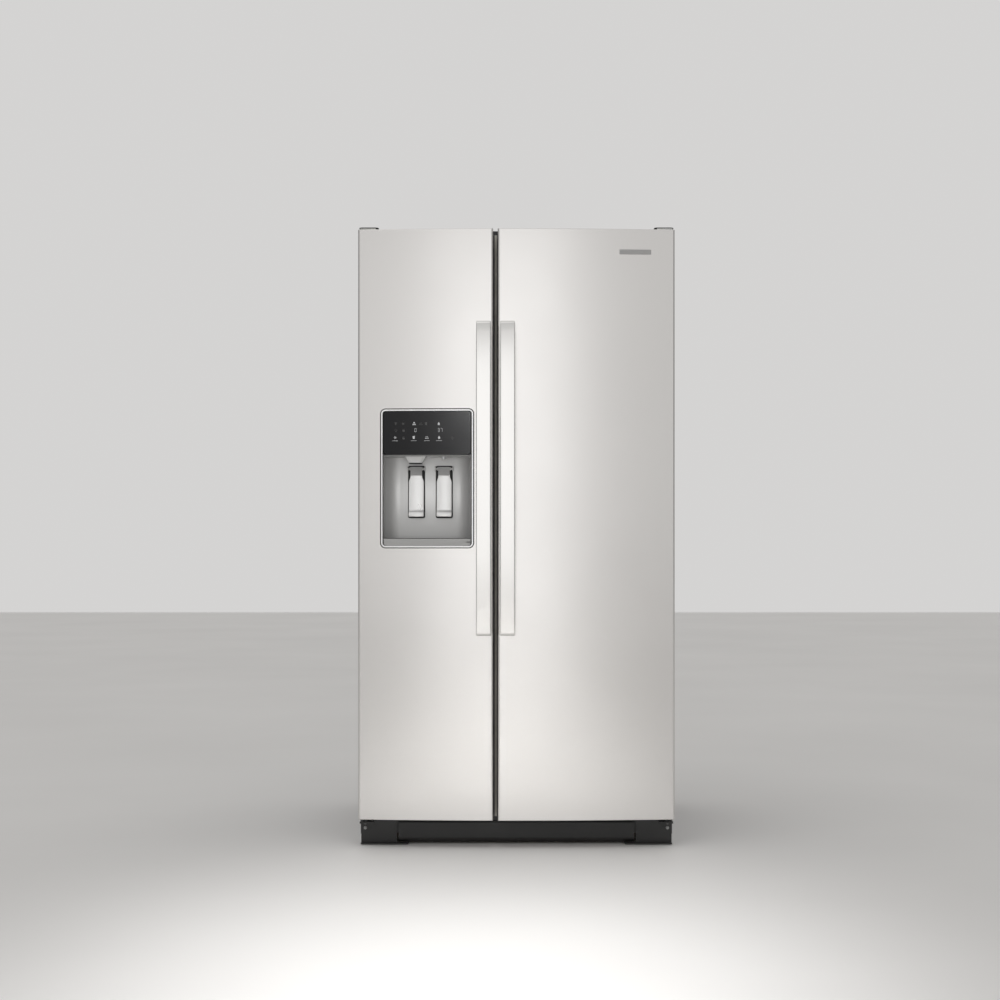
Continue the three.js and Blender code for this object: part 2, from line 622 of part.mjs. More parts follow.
const HANDLE = { bottom: 604, top: 1488, width: 40.5, thickness: 13, foot: 24, bow: 13, bend: 9 };

// A handle's profile from the side: a bar that bows towards the door at its ends and turns back to it.
function handleProfile(inset, endInset, bend) {
  const half = (HANDLE.top - HANDLE.bottom) / 2 - endInset;
  const middle = (HANDLE.top + HANDLE.bottom) / 2;
  const frontY = (t) => -DEPTH / 2 + inset + HANDLE.bow * Math.abs(t) ** 3;
  const bar = Array.from({ length: 21 }, (_, i) => {
    const t = ((i - 10) / 10) * (1 - bend / half);
    return [frontY(t), middle + t * half];
  });
  const corner = (end) =>
    [1, 2, 3].map((i) => {
      const a = (i * Math.PI) / 6;
      const y = frontY(1) + bend * (1 - Math.cos(a));
      return [y, middle + end * (half - bend + bend * Math.sin(a))];
    });
  const doorY = DOOR_FRONT + 80;
  return [...bar, ...corner(1), [doorY, middle + half], [doorY, middle - half], ...corner(-1).reverse()];
}

// Flat bar that stands off the door on its turned ends.
function handle(name, x0) {
  const { width, thickness, foot, bend } = HANDLE;
  const outside = prism("x", handleProfile(0, 0, bend), [x0, x0 + width]);
  const fingerGap = prism("x", handleProfile(thickness, foot, 3), [x0 - 1, x0 + width + 1]);
  const door = faceSlab([x0 - 10, x0 + width + 10], [-GAP, 150], [0, CABINET_TOP]);
  return mesh(name, cut(outside, fingerGap, door), STAINLESS);
}

// An open-topped door bin, around the middle of its back lower edge.
function doorBin(name, { left, right }, bottom, height, depth) {
  const half = (right - left) / 2 - DYKE_WALL - 0.5;
  const tub = box([-half, half], [0, depth], [0, height]);
  const hollow = box([-half + 3, half - 3], [3, depth - 3], [3, height + 1]);
  const lowBack = box([-half - 1, half + 1], [-1, 3.5], [height * 0.6, height + 1]);
  return mesh(name, cut(tub, hollow, lowBack), CLEAR_PLASTIC, (left + right) / 2, DOOR_BACK + GAP, bottom);
}

// ---------------------------------------------------------------- dispenser

const HOUSING = { left: -382, right: -124.5, bottom: 852.5, top: 1242, back: -276 };
const LEVER_POCKET = { half: 24, bottom: 936, top: 1086, depth: 6 };
const LEVERS = [ICE_X, WATER_X];

// The pocket in the door that takes the housing.
function dispenserPocket(grow) {
  const { left, right, bottom, top, back } = HOUSING;
  return box([left - grow, right + grow], [-BACK, back + grow], [bottom - grow, top + grow]);
}

// The cup space: straight sides that turn into the back wall in wide curves.
function cupSpace() {
  const radius = 45;
  const { left, right, back, bottom } = RECESS;
  const arc = (cx, start) =>
    Array.from({ length: 7 }, (_, i) => {
      const a = start - (i * Math.PI) / 12;
      return [cx + radius * Math.cos(a), back - radius + radius * Math.sin(a)];
    });
  const plan = [
    [left, -BACK],
    ...arc(left + radius, Math.PI),
    ...arc(right - radius, Math.PI / 2),
    [right, -BACK],
  ];
  return prism("z", plan, [bottom, PANEL_BOTTOM - 4]);
}

// Bezel ring, side walls, ceiling and curved back of the dispenser in one moulding, with lugs for the levers.
function dispenserHousing() {
  const { left, right, bottom, top, back } = HOUSING;
  const ring = faceSlab([BEZEL.left, BEZEL.right], [-2.2, -GAP], [BEZEL.bottom, BEZEL.top]).intersect(
    prism("y", roundedRectangle([BEZEL.left, BEZEL.right], [BEZEL.bottom, BEZEL.top], 16), [-BACK, 0]),
  );
  const body = prism("y", roundedRectangle([left, right], [bottom, top], 12), [-BACK, back]).intersect(
    faceSlab([left - 1, right + 1], [-2.2, 150], [bottom - 1, top + 1]),
  );
  const window = prism(
    "y",
    roundedRectangle([RECESS.left, RECESS.right], [RECESS.bottom, BEZEL.top - 7.5], 10),
    [-BACK, -340],
  );
  const controlBay = box([RECESS.left, RECESS.right], [-BACK, back - 4], [PANEL_BOTTOM, BEZEL.top - 7.5]);
  const chuteHole = box([ICE_X - 32.5, ICE_X + 32.5], [CHUTE_Y - 24.5, CHUTE_Y + 24.5], [1100, 1120]);
  const chuteInlet = box([ICE_X - 34, ICE_X + 34], [-311, -240], [1200, BEZEL.top]);
  const pockets = LEVERS.map((x) =>
    box(
      [x - LEVER_POCKET.half, x + LEVER_POCKET.half],
      [-300, RECESS.back + LEVER_POCKET.depth],
      [LEVER_POCKET.bottom, LEVER_POCKET.top],
    ),
  );
  const lugs = LEVERS.flatMap((x) =>
    [-1, 1].map((side) => {
      const inner = x + side * 23.5;
      const outer = x + side * 27;
      return cut(
        box([Math.min(inner, outer), Math.max(inner, outer)], [-300, back - 1], [1070, 1086]),
        rod("x", [x - 30, x + 30], [LEVER_PIVOT.y, LEVER_PIVOT.z], 3.1, 12),
      );
    }),
  );
  const shell = cut(join(ring, body), window, cupSpace(), controlBay, chuteHole, chuteInlet, pockets);
  return mesh("dispenser_housing", join(shell, lugs), DISPENSER_SILVER);
}

// Glossy control panel that follows the door's arc.
function controlPanel() {
  const x = [RECESS.left + GAP, RECESS.right - GAP];
  const outline = roundedRectangle(x, [PANEL_BOTTOM + GAP, BEZEL.top - 7.5 - GAP], 9.5);
  const slab = faceSlab(x, [0.5, 9], [PANEL_BOTTOM, BEZEL.top]);
  return mesh("control_panel", slab.intersect(prism("y", outline, [-BACK, 0])), PANEL_BLACK);
}

const CHUTE_SECTIONS = [
  { y: CHUTE_Y, z: 1093, w: 19.5, d: 17 },
  { y: CHUTE_Y, z: 1114, w: 32, d: 24 },
  { y: -292, z: 1238, w: 32, d: 17 },
].map((section) => ({ x: ICE_X, ...section }));

// Funnel and shaft that drop ice from the bin, through the door, into the cup space.
function iceChute() {
  const [mouth, waist, inlet] = CHUTE_SECTIONS;
  const wall = 2.5;
  const inside = ({ x, y, z, w, d }, dz = 0) => ({ x, y, z: z + dz, w: w - wall, d: d - wall });
  return mesh(
    "ice_chute",
    cut(
      join(taper(mouth, waist), taper(waist, inlet)),
      taper(inside(mouth, -0.1), inside(waist)),
      taper(inside(waist), inside(inlet, 0.1)),
    ),
    CHUTE_GREY,
  );
}

const FLAP = { y: -296, z: 1166 };

// Plate that closes the shaft, around its hinge line.
function chuteFlap() {
  const plate = box([-27, 27], [-32, 0], [-1, 1]);
  const barrel = rod("x", [-27, 27], [0, 0], 2.2, 8);
  return mesh("chute_flap", join(plate, barrel), BLACK_PLASTIC, ICE_X, FLAP.y, FLAP.z);
}

// Push lever around its pivot: pin, neck and a wider paddle with a lip at the bottom.
function lever(name, x) {
  const pin = rod("x", [-26.5, 26.5], [0, 0], 2.5, 12);
  const barrel = rod("x", [-20, 20], [0, 0], 5, 12);
  const side = [[-3, 4], [3, 4], [1, -34], [-7, -132], [-17, -138], [-18, -128], [-9, -118], [-5, -34]];
  const rightEdge = [[17, 5], [17, -22], [21.7, -34], [21.7, -139]];
  const leftEdge = rightEdge.map(([across, z]) => [-across, z]).reverse();
  const paddle = prism("x", side, [-30, 30]).intersect(prism("y", [...rightEdge, ...leftEdge], [-40, 40]));
  return mesh(name, join(pin, barrel, paddle), LEVER_SILVER, x, LEVER_PIVOT.y, LEVER_PIVOT.z);
}

// Pull-out tray with a tall front lip that follows the door's arc.
function dripTray() {
  const x = [RECESS.left + 1, RECESS.right - 1];
  const z = [RECESS.bottom + GAP, RECESS.bottom + 22];
  const lip = faceSlab(x, [1, 5], z).intersect(
    prism("y", roundedRectangle(x, [z[0], z[1] + 30], 9), [-BACK, 0]),
  );
  const tray = cut(
    box([x[0] + 1, x[1] - 1], [-366, RECESS.back - 22], [z[0], z[0] + 12]),
    box([x[0] + 4, x[1] - 4], [-350, RECESS.back - 25], [z[0] + 3, z[1]]),
  );
  const backY = RECESS.back - 22;
  const leftSide = [[x[0] + 22, backY], [x[0], -329], [x[0], -400]];
  const rightSide = [[x[1], -400], [x[1], -329], [x[1] - 22, backY]];
  const plan = prism("z", [...leftSide, ...rightSide], [0, CABINET_TOP]);
  return mesh("drip_tray", join(lip, tray).intersect(plan), DISPENSER_SILVER);
}

// ---------------------------------------------------------------- ice bin on the freezer door

const ICE_BIN = { left: -353, right: -152, back: -154, bottom: 1264, top: 1528 };
const AUGER = { y: -222, z: 1302 };

// Open-topped bin with an outlet in its floor, over the chute.
function iceBin() {
  const { left, right, back, bottom, top } = ICE_BIN;
  const tub = box([left, right], [DOOR_BACK + GAP, back], [bottom, top]);
  const hollow = box([left + 3, right - 3], [DOOR_BACK + 3, back - 3], [bottom + 3, top + 1]);
  const outlet = box([ICE_X - 30, ICE_X + 30], [-306, -268], [bottom - 1, bottom + 4]);
  const bearing = rod("x", [right - 4, right + 1], [AUGER.y, AUGER.z], 5.6, 12);
  return mesh("ice_bin", cut(tub, hollow, outlet, bearing), CLEAR_PLASTIC);
}

// Shaft with staggered paddles, around the middle of its axis.
function iceAuger() {
  const half = (ICE_BIN.right - ICE_BIN.left) / 2 - 4;
  const shaft = rod("x", [-half, half + 6], [0, 0], 5, 12);
  const paddles = Array.from({ length: 8 }, (_, i) => {
    const paddle = new THREE.BoxGeometry(4, 56, 15);
    paddle.rotateX((i * Math.PI) / 4).translate(-half + 14 + (i * (2 * half - 28)) / 7, 0, 0);
    return solid(paddle);
  });
  const x = (ICE_BIN.left + ICE_BIN.right) / 2;
  return mesh("ice_auger", join(shaft, paddles), ALUMINIUM, x, AUGER.y, AUGER.z);
}

function freezerDoor() {
  const x = [-WIDTH / 2, DOOR_GAP[0]];
  const window = prism(
    "y",
    roundedRectangle([BEZEL.left + 3, BEZEL.right - 3], [BEZEL.bottom + 3, BEZEL.top - 3], 13),
    [-BACK, DOOR_BACK - 20],
  );
  const bulge = box([DYKES.freezer.left, DYKES.freezer.right], [DOOR_BACK - 1, -262], [838, 1256]);
  const drop = box([ICE_X - 34, ICE_X + 34], [-308, -267], [1200, 1257]);
  const inner = cut(join(doorInner(...x, -1, DYKES.freezer), bulge), dispenserPocket(GAP), drop);
  return groupAt(
    [-HINGE_X, HINGE_Y, 0],
    doorSkin("freezer_door_skin", -1, x, [window]),
    mesh("freezer_door_inner", inner, LINER_WHITE),
    gasket("freezer_door_gasket", [-408, -75], [99, 1701]),
    handle("freezer_door_handle", -112.5),
    dispenserHousing(),
    controlPanel(),
    iceChute(),
    chuteFlap(),
    lever("ice_lever", ICE_X),
    lever("water_lever", WATER_X),
    dripTray(),
    iceBin(),
    iceAuger(),
    doorBin("freezer_bin_upper", DYKES.freezer, 500, 110, 92),
    doorBin("freezer_bin_lower", DYKES.freezer, 160, 110, 78),
  );
}

// ---------------------------------------------------------------- fresh-food door

const DAIRY = { bottom: 1340, top: 1465, front: -206 };
const DAIRY_PIVOT = { y: -301, z: DAIRY.top + 7 };

// Trough of the dairy compartment, moulded on the inner door.
function dairyTrough({ left, right }) {
  const x = [left + DYKE_WALL - 1, right - DYKE_WALL + 1];
  const outer = box(x, [DOOR_BACK - 1, DAIRY.front], [DAIRY.bottom, DAIRY.top]);
  const hollow = box([x[0] + 4, x[1] - 4], [DOOR_BACK, DAIRY.front - 3], [DAIRY.bottom + 3, DAIRY.top + 1]);
  const mouth = box([x[0] + 4, x[1] - 4], [DAIRY.front - 4, 0], [DAIRY.bottom + 32, DAIRY.top + 1]);
  return cut(outer, hollow, mouth);
}

// Flip-up cover over the top and front of the dairy trough, around its hinge line.
function dairyCover({ left, right }) {
  const half = (right - left) / 2 - DYKE_WALL - 1.5;
  const reach = DAIRY.front - DAIRY_PIVOT.y + 6;
  const top = box([-half, half], [0, reach], [-5, -2]);
  const front = box([-half, half], [reach - 3, reach], [DAIRY.bottom + 26 - DAIRY_PIVOT.z, -2]);
  const barrel = rod("x", [-half, half], [0, -2], 3.5, 10);
  const x = (left + right) / 2;
  return mesh("dairy_cover", join(top, front, barrel), CLEAR_PLASTIC, x, DAIRY_PIVOT.y, DAIRY_PIVOT.z);
}

function fridgeDoor() {
  const x = [DOOR_GAP[1], WIDTH / 2];
  return groupAt(
    [HINGE_X, HINGE_Y, 0],
    doorSkin("fridge_door_skin", 1, x),
    mesh("fridge_door_inner", join(doorInner(...x, 1, DYKES.fridge), dairyTrough(DYKES.fridge)), LINER_WHITE),
    gasket("fridge_door_gasket", [-44, 418], [99, 1701]),
    handle("fridge_door_handle", -45),
    dairyCover(DYKES.fridge),
    doorBin("fridge_bin_upper", DYKES.fridge, 960, 115, 96),
    doorBin("fridge_bin_middle", DYKES.fridge, 570, 115, 96),
    doorBin("fridge_bin_lower", DYKES.fridge, 165, 110, 78),
  );
}

// ---------------------------------------------------------------- the refrigerator

function cabinet() {
  return [
    cabinetWrapper(),
    cabinetFoam(),
    freezerLiner(),
    freshFoodLiner(),
    backPanel(),
    machineCover(),
    evaporatorCover(),
    evaporatorCoil(),
    fan("evaporator_fan", "y", 48, [FAN_CENTRE.x, 346, FAN_CENTRE.z]),
    icemaker(),
    shelf("freezer_shelf_upper", FREEZER, FREEZER_SHELVES.upper, SHELF_GLASS),
    shelf("freezer_shelf_lower", FREEZER, FREEZER_SHELVES.lower, SHELF_GLASS),
    shelf("fridge_shelf_upper", FRIDGE, FRIDGE_SHELVES.upper, SHELF_GLASS),
    shelf("fridge_shelf_middle", FRIDGE, FRIDGE_SHELVES.middle, SHELF_GLASS, deliRails()),
    shelf("crisper_cover", FRIDGE, CRISPER_COVER, SHELF_GLASS),
    ...Object.entries(DRAWERS).map(([name, size]) => drawer(name, size, CLEAR_PLASTIC)),
    waterFilter(),
  ];
}

function base() {
  const sides = [["left", -1], ["right", 1]];
  return [
    baseFrame(),
    baseGrille(),
    compressor(),
    condenserCoil(),
    fan("condenser_fan", "x", 70, [-90, 300, 160]),
    ...sides.flatMap(([word, side]) => [
      roller(`front_roller_${word}`, side, FRONT_AXLE),
      roller(`rear_roller_${word}`, side, REAR_AXLE),
      levelingLeg(`leveling_leg_${word}`, side),
      lowerHinge(`lower_hinge_${word}`, side),
      upperHinge(`upper_hinge_${word}`, side),
      hingeCover(`hinge_cover_${word}`, side),
    ]),
  ];
}

const refrigerator = new THREE.Group();
refrigerator.add(...cabinet(), ...base(), freezerDoor(), fridgeDoor());

export default refrigerator;
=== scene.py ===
import json
import math
from collections import namedtuple

import bmesh
import bpy
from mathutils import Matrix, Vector

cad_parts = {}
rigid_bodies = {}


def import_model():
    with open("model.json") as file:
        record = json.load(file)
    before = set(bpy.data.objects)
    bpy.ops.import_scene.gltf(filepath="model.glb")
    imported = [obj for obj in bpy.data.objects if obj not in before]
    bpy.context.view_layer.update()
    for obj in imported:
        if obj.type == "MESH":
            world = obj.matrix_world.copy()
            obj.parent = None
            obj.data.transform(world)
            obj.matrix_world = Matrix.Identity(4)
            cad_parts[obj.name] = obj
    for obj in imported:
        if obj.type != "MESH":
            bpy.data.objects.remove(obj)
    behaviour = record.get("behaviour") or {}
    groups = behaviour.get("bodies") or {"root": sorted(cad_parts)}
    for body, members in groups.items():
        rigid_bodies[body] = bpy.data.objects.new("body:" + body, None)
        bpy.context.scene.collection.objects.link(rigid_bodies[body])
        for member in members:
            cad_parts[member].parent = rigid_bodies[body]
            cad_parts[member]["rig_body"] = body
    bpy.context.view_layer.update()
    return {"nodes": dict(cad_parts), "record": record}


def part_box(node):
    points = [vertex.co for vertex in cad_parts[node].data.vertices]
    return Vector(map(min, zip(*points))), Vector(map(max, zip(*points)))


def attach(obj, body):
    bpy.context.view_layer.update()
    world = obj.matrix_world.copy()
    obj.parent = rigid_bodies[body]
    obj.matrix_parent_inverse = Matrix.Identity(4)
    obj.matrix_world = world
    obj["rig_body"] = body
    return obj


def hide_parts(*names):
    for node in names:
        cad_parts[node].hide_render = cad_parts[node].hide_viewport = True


# A side by side refrigerator. Shapes are worked out in millimetres in the frame's own axes, with
# the doors facing -Y, and become metres when a piece is made.

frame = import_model()

MM = 0.001
SLOTS = {part["node"]: part["material_slot"] for part in frame["record"]["subparts"]}


class Limits(namedtuple("Limits", "x0 x1 y0 y1 z0 z1")):
    """A box in millimetres, with its middle along each axis and its face across Y."""
    x = property(lambda self: (self.x0 + self.x1) / 2)
    y = property(lambda self: (self.y0 + self.y1) / 2)
    z = property(lambda self: (self.z0 + self.z1) / 2)
    face = property(lambda self: (self.x0, self.x1, self.z0, self.z1))


def limits(node):
    """A CAD node's box in millimetres."""
    low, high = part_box(node)
    return Limits(*(round(v / MM, 2) for pair in zip(low, high) for v in pair))


# ---- dimensions shared by the pieces

FREEZER_SKIN = limits("freezer_door_skin")
FRIDGE_SKIN = limits("fridge_door_skin")
WRAPPER = limits("cabinet_wrapper")
PANEL = limits("control_panel")

CROWN = 20.0  # the doors' shared arc stands out this far at the middle
HALF_WIDTH = FRIDGE_SKIN.x1
ARC_RADIUS = (HALF_WIDTH**2 + CROWN**2) / (2 * CROWN)
SHEET = 1.2
CORNER = 6.0


def sag(x):
    """How far the doors' arc has fallen back at x from its crown."""
    return ARC_RADIUS - math.sqrt(ARC_RADIUS**2 - x**2)


DOOR_FRONT = FRIDGE_SKIN.y0 - sag(FRIDGE_SKIN.x0)
DOOR_BACK = FREEZER_SKIN.y1
CURVED_UP_TO = -335.0  # what lies ahead of this follows the arc
CABINET_FRONT = WRAPPER.y0


# ---- outlines

def arc(centre, radius, start, end, steps=6):
    """Points on a circle between two angles in degrees."""
    angles = [math.radians(start + (end - start) * i / steps) for i in range(steps + 1)]
    return [(centre[0] + radius * math.cos(a), centre[1] + radius * math.sin(a)) for a in angles]


def rounded(a0, a1, b0, b1, radius, steps=6):
    """A rectangle with rounded corners."""
    r = max(radius, 0.05)
    return (
        arc((a1 - r, b0 + r), r, -90, 0, steps)
        + arc((a1 - r, b1 - r), r, 0, 90, steps)
        + arc((a0 + r, b1 - r), r, 90, 180, steps)
        + arc((a0 + r, b0 + r), r, 180, 270, steps)
    )


def circle(centre, radius, sides=24):
    return arc(centre, radius, 0, 360, sides)[:-1]


# ---- shapes: (points, faces)

def ring(axis, outline, along):
    """An outline square to an axis: x takes (y, z) points, y takes (x, z) and z takes (x, y)."""
    order = {"x": (2, 0, 1), "y": (0, 2, 1), "z": (0, 1, 2)}[axis]
    return [tuple((a, b, along)[i] for i in order) for a, b in outline]


def loft(rings, loop=False):
    """A skin over rings of equally many points, closed by end caps or joined to a loop."""
    count = len(rings[0])
    points = [p for r in rings for p in r]
    faces = []
    for i in range(len(rings) if loop else len(rings) - 1):
        a = i * count
        b = (i + 1) % len(rings) * count
        faces += [(a + j, a + (j + 1) % count, b + (j + 1) % count, b + j) for j in range(count)]
    if not loop:
        faces += [tuple(range(count))[::-1], tuple(range(len(points) - count, len(points)))]
    return points, faces


def prism(axis, outline, low, high):
    return loft([ring(axis, outline, low), ring(axis, outline, high)])


def box(x0, x1, y0, y1, z0, z1):
    return prism("z", [(x0, y0), (x1, y0), (x1, y1), (x0, y1)], z0, z1)


def slab(axis, a0, a1, b0, b1, start, end, corner=3.0, edge=1.0, steps=4):
    """A plate with rounded corners, its face at `end` having a rounded edge."""
    sign = 1 if end > start else -1
    layers = [(start, 0.0)]
    for i in range(steps + 1):
        a = math.pi / 2 * i / steps
        layers.append((end - sign * edge * (1 - math.sin(a)), edge * (1 - math.cos(a))))
    return loft([
        ring(axis, rounded(a0 + d, a1 - d, b0 + d, b1 - d, corner - d), at) for at, d in layers
    ])


def frame_ring(axis, a0, a1, b0, b1, corner, section, steps=8):
    """A rounded rectangular frame, whose section is a list of (inset, along) points."""
    rings = [
        ring(axis, rounded(a0 + d, a1 - d, b0 + d, b1 - d, corner - d, steps), at)
        for d, at in section
    ]
    return loft(rings, loop=True)


def lathe(axis, centre, profile, sides=40):
    """A turned shape from (radius, along) points, closed by its two ends."""
    return loft([ring(axis, circle(centre, max(r, 0.05), sides), at) for r, at in profile])


def tube(path, radius, sides=12):
    """A round bar along a path."""
    points = [Vector(p) for p in path]
    spans = [(b - a).normalized() for a, b in zip(points, points[1:])]
    tangents = [spans[0]] + [(a + b).normalized() for a, b in zip(spans, spans[1:])] + [spans[-1]]
    across = tangents[0].orthogonal()
    rings = []
    for point, tangent in zip(points, tangents):
        across = (across - tangent * across.dot(tangent)).normalized()
        side = tangent.cross(across)
        turns = [2 * math.pi * i / sides for i in range(sides)]
        rings.append([
            tuple(point + radius * (math.cos(t) * across + math.sin(t) * side)) for t in turns
        ])
    return loft(rings)


def tub(x0, x1, y0, y1, z0, z1, wall=2.5, corner=12.0, draft=3.0, foot=8.0, lip=0.0):
    """An open-topped tub: drafted walls, a rounded foot and an outward lip round its mouth."""
    layers = []
    for i in range(6):
        a = math.pi / 2 * i / 5
        layers.append((z0 + foot * (1 - math.cos(a)), draft + foot * (1 - math.sin(a))))
    if lip:
        layers += [(z1 - 6, 0.0), (z1 - 6, -lip + 0.8), (z1 - 5.2, -lip)]
    layers += [(z1 - 0.8, -lip), (z1, -lip + 0.8), (z1, wall - 0.8), (z1 - 0.8, wall)]
    for i in range(6):
        a = math.pi / 2 * (1 - i / 5)
        rise = foot * (1 - math.cos(a))
        layers.append((z0 + wall + rise, draft + wall + foot * (1 - math.sin(a))))
    return loft([
        ring("z", rounded(x0 + d, x1 - d, y0 + d, y1 - d, max(corner - d, 2.0)), z)
        for z, d in layers
    ])


def merged(shapes):
    """Several shapes as one."""
    points, faces = [], []
    for shape_points, shape_faces in shapes:
        start = len(points)
        points += shape_points
        faces += [tuple(start + i for i in face) for face in shape_faces]
    return points, faces


def as_bmesh(shape):
    points, faces = shape
    bm = bmesh.new()
    corners = [bm.verts.new(p) for p in points]
    for face in faces:
        bm.faces.new([corners[i] for i in face])
    bmesh.ops.recalc_face_normals(bm, faces=bm.faces)
    return bm


def as_shape(bm):
    bm.verts.index_update()
    shape = [tuple(v.co) for v in bm.verts], [tuple(v.index for v in f.verts) for f in bm.faces]
    bm.free()
    return shape


def combine(first, second, operation):
    """The boolean of two closed shapes: DIFFERENCE, UNION or INTERSECT."""
    operands = []
    for shape in (first, second):
        mesh = bpy.data.meshes.new("operand")
        bm = as_bmesh(shape)
        bm.to_mesh(mesh)
        bm.free()
        operands.append(bpy.data.objects.new("operand", mesh))
        bpy.context.scene.collection.objects.link(operands[-1])
    modifier = operands[0].modifiers.new("boolean", "BOOLEAN")
    modifier.operation = operation
    modifier.solver = "EXACT"
    modifier.use_self = False
    modifier.object = operands[1]
    graph = bpy.context.evaluated_depsgraph_get()
    result = bpy.data.meshes.new_from_object(operands[0].evaluated_get(graph))
    bm = bmesh.new()
    bm.from_mesh(result)
    bmesh.ops.dissolve_limit(
        bm, angle_limit=math.radians(0.05), use_dissolve_boundaries=False,
        verts=bm.verts, edges=bm.edges,
    )
    for leftover in operands:
        mesh = leftover.data
        bpy.data.objects.remove(leftover)
        bpy.data.meshes.remove(mesh)
    bpy.data.meshes.remove(result)
    return as_shape(bm)


def cut(shape, *tools):
    for tool in tools:
        shape = combine(shape, tool, "DIFFERENCE")
    return shape


def sliced(shape, step, shift):
    """Slices a shape across x and moves each of its points along y by shift(point)."""
    bm = as_bmesh(shape)
    low = min(v.co.x for v in bm.verts)
    high = max(v.co.x for v in bm.verts)
    slices = max(1, round((high - low) / step))
    for i in range(1, slices):
        bmesh.ops.bisect_plane(
            bm, geom=bm.verts[:] + bm.edges[:] + bm.faces[:],
            plane_co=(low + (high - low) * i / slices, 0, 0), plane_no=(1, 0, 0),
        )
    for v in bm.verts:
        v.co.y += shift(v.co)
    return as_shape(bm)


def bend(shape, step=12.0):
    """Lays what stands in the front of a door on the doors' arc."""
    return sliced(shape, step, lambda point: sag(point.x) if point.y < CURVED_UP_TO else 0.0)


# ---- materials

def principled(material):
    return material.node_tree.nodes["Principled BSDF"]


def shader_material(name, colour, roughness, metallic=0.0, alpha=1.0):
    material = bpy.data.materials.new(name)
    material.use_nodes = True
    shader = principled(material)
    shader.inputs["Base Color"].default_value = (*colour, 1)
    shader.inputs["Roughness"].default_value = roughness
    shader.inputs["Metallic"].default_value = metallic
    shader.inputs["Alpha"].default_value = alpha
    material.diffuse_color = (*colour, alpha)
    return material


def add_node(owner, kind, **values):
    """A node of a material or a world, with its inputs set: From_Min stands for From Min."""
    node = owner.node_tree.nodes.new(f"ShaderNode{kind}")
    for name, value in values.items():
        node.inputs[name.replace("_", " ")].default_value = value
    return node


def noise(material, scale, stretch=(1, 1, 1), detail=3.0):
    """A noise over the piece's own coordinates, in cells per metre. Returns its value socket."""
    return textured(material, stretch, "TexNoise", Scale=scale, Detail=detail).outputs[0]


def cells(material, scale):
    """How far a point lies from the middle of its cell, for flakes, spangle and foam."""
    return textured(material, (1, 1, 1), "TexVoronoi", Scale=scale).outputs["Distance"]


def textured(material, stretch, kind, **values):
    links = material.node_tree.links
    place = add_node(material, "TexCoord")
    mapping = add_node(material, "Mapping", Scale=stretch)
    texture = add_node(material, kind, **values)
    links.new(place.outputs["Object"], mapping.inputs["Vector"])
    links.new(mapping.outputs["Vector"], texture.inputs["Vector"])
    return texture


def spread(owner, value, low, high, start=0.3, end=0.7):
    """A value mapped between two numbers."""
    node = add_node(owner, "MapRange", From_Min=start, From_Max=end, To_Min=low, To_Max=high)
    owner.node_tree.links.new(value, node.inputs["Value"])
    return node.outputs["Result"]


def roughen(material, value, low, high):
    """Roughness between two numbers, by a noise value."""
    gloss = principled(material).inputs["Roughness"]
    material.node_tree.links.new(spread(material, value, low, high), gloss)


def tint(material, value, dark, light):
    """Base colour between two colours, by a noise value."""
    node = add_node(material, "Mix")
    node.data_type = "RGBA"
    node.inputs["A"].default_value = (*dark, 1)
    node.inputs["B"].default_value = (*light, 1)
    links = material.node_tree.links
    links.new(spread(material, value, 0.0, 1.0), node.inputs["Factor"])
    links.new(node.outputs["Result"], principled(material).inputs["Base Color"])


def bump(material, value, strength, height):
    """A bump of the given height in millimetres; a second one goes on top of the first."""
    shader = principled(material)
    node = add_node(material, "Bump", Strength=strength, Distance=height * MM)
    links = material.node_tree.links
    if shader.inputs["Normal"].is_linked:
        links.new(shader.inputs["Normal"].links[0].from_socket, node.inputs["Normal"])
    links.new(value, node.inputs["Height"])
    links.new(node.outputs["Normal"], shader.inputs["Normal"])


def clearer_when_faced(material, faced, grazing):
    """See-through from the front and more solid at a grazing angle, as clear plastic is."""
    weight = add_node(material, "LayerWeight", Blend=0.35)
    alpha = spread(material, weight.outputs["Facing"], faced, grazing, 0.0, 1.0)
    material.node_tree.links.new(alpha, principled(material).inputs["Alpha"])


def brushed(name, colour, roughness, along, strength=0.12):
    """Metal with a fine grain along one axis and faint clouds in its gloss."""
    material = shader_material(name, colour, roughness, metallic=1.0)
    stretch = [1.0, 1.0, 1.0]
    stretch["xyz".index(along)] = 0.012
    grain = noise(material, 2600, stretch, detail=4)
    clouds = noise(material, 3.5, detail=2)
    roughen(material, clouds, roughness - 0.015, roughness + 0.02)
    bump(material, grain, strength, 0.01)
    return material


def cabinet_paint():
    material = shader_material("cabinet_paint", (0.085, 0.085, 0.09), 0.5)
    stipple = noise(material, 900, detail=2)
    bump(material, stipple, 0.45, 0.15)
    roughen(material, noise(material, 6), 0.48, 0.52)
    tint(material, noise(material, 1400), (0.075, 0.075, 0.08), (0.1, 0.1, 0.105))
    return material


def galvanised():
    material = shader_material("galvanised", (0.62, 0.64, 0.66), 0.42, metallic=0.9)
    tint(material, cells(material, 160), (0.575, 0.595, 0.61), (0.645, 0.665, 0.68))
    roughen(material, noise(material, 60), 0.38, 0.46)
    return material


def zinc():
    material = shader_material("zinc", (0.7, 0.7, 0.66), 0.3, metallic=1.0)
    tint(material, noise(material, 45), (0.66, 0.66, 0.6), (0.76, 0.76, 0.75))
    roughen(material, noise(material, 120), 0.24, 0.38)
    return material


def coated_black(name, level, roughness, grain=700, height=0.05):
    """Black paint or moulded plastic with a fine texture."""
    material = shader_material(name, (level, level, level), roughness)
    bump(material, noise(material, grain, detail=2), 0.4, height)
    roughen(material, noise(material, 8), roughness - 0.05, roughness + 0.07)
    tint(material, noise(material, grain), (level * 0.8,) * 3, (level * 1.3,) * 3)
    return material


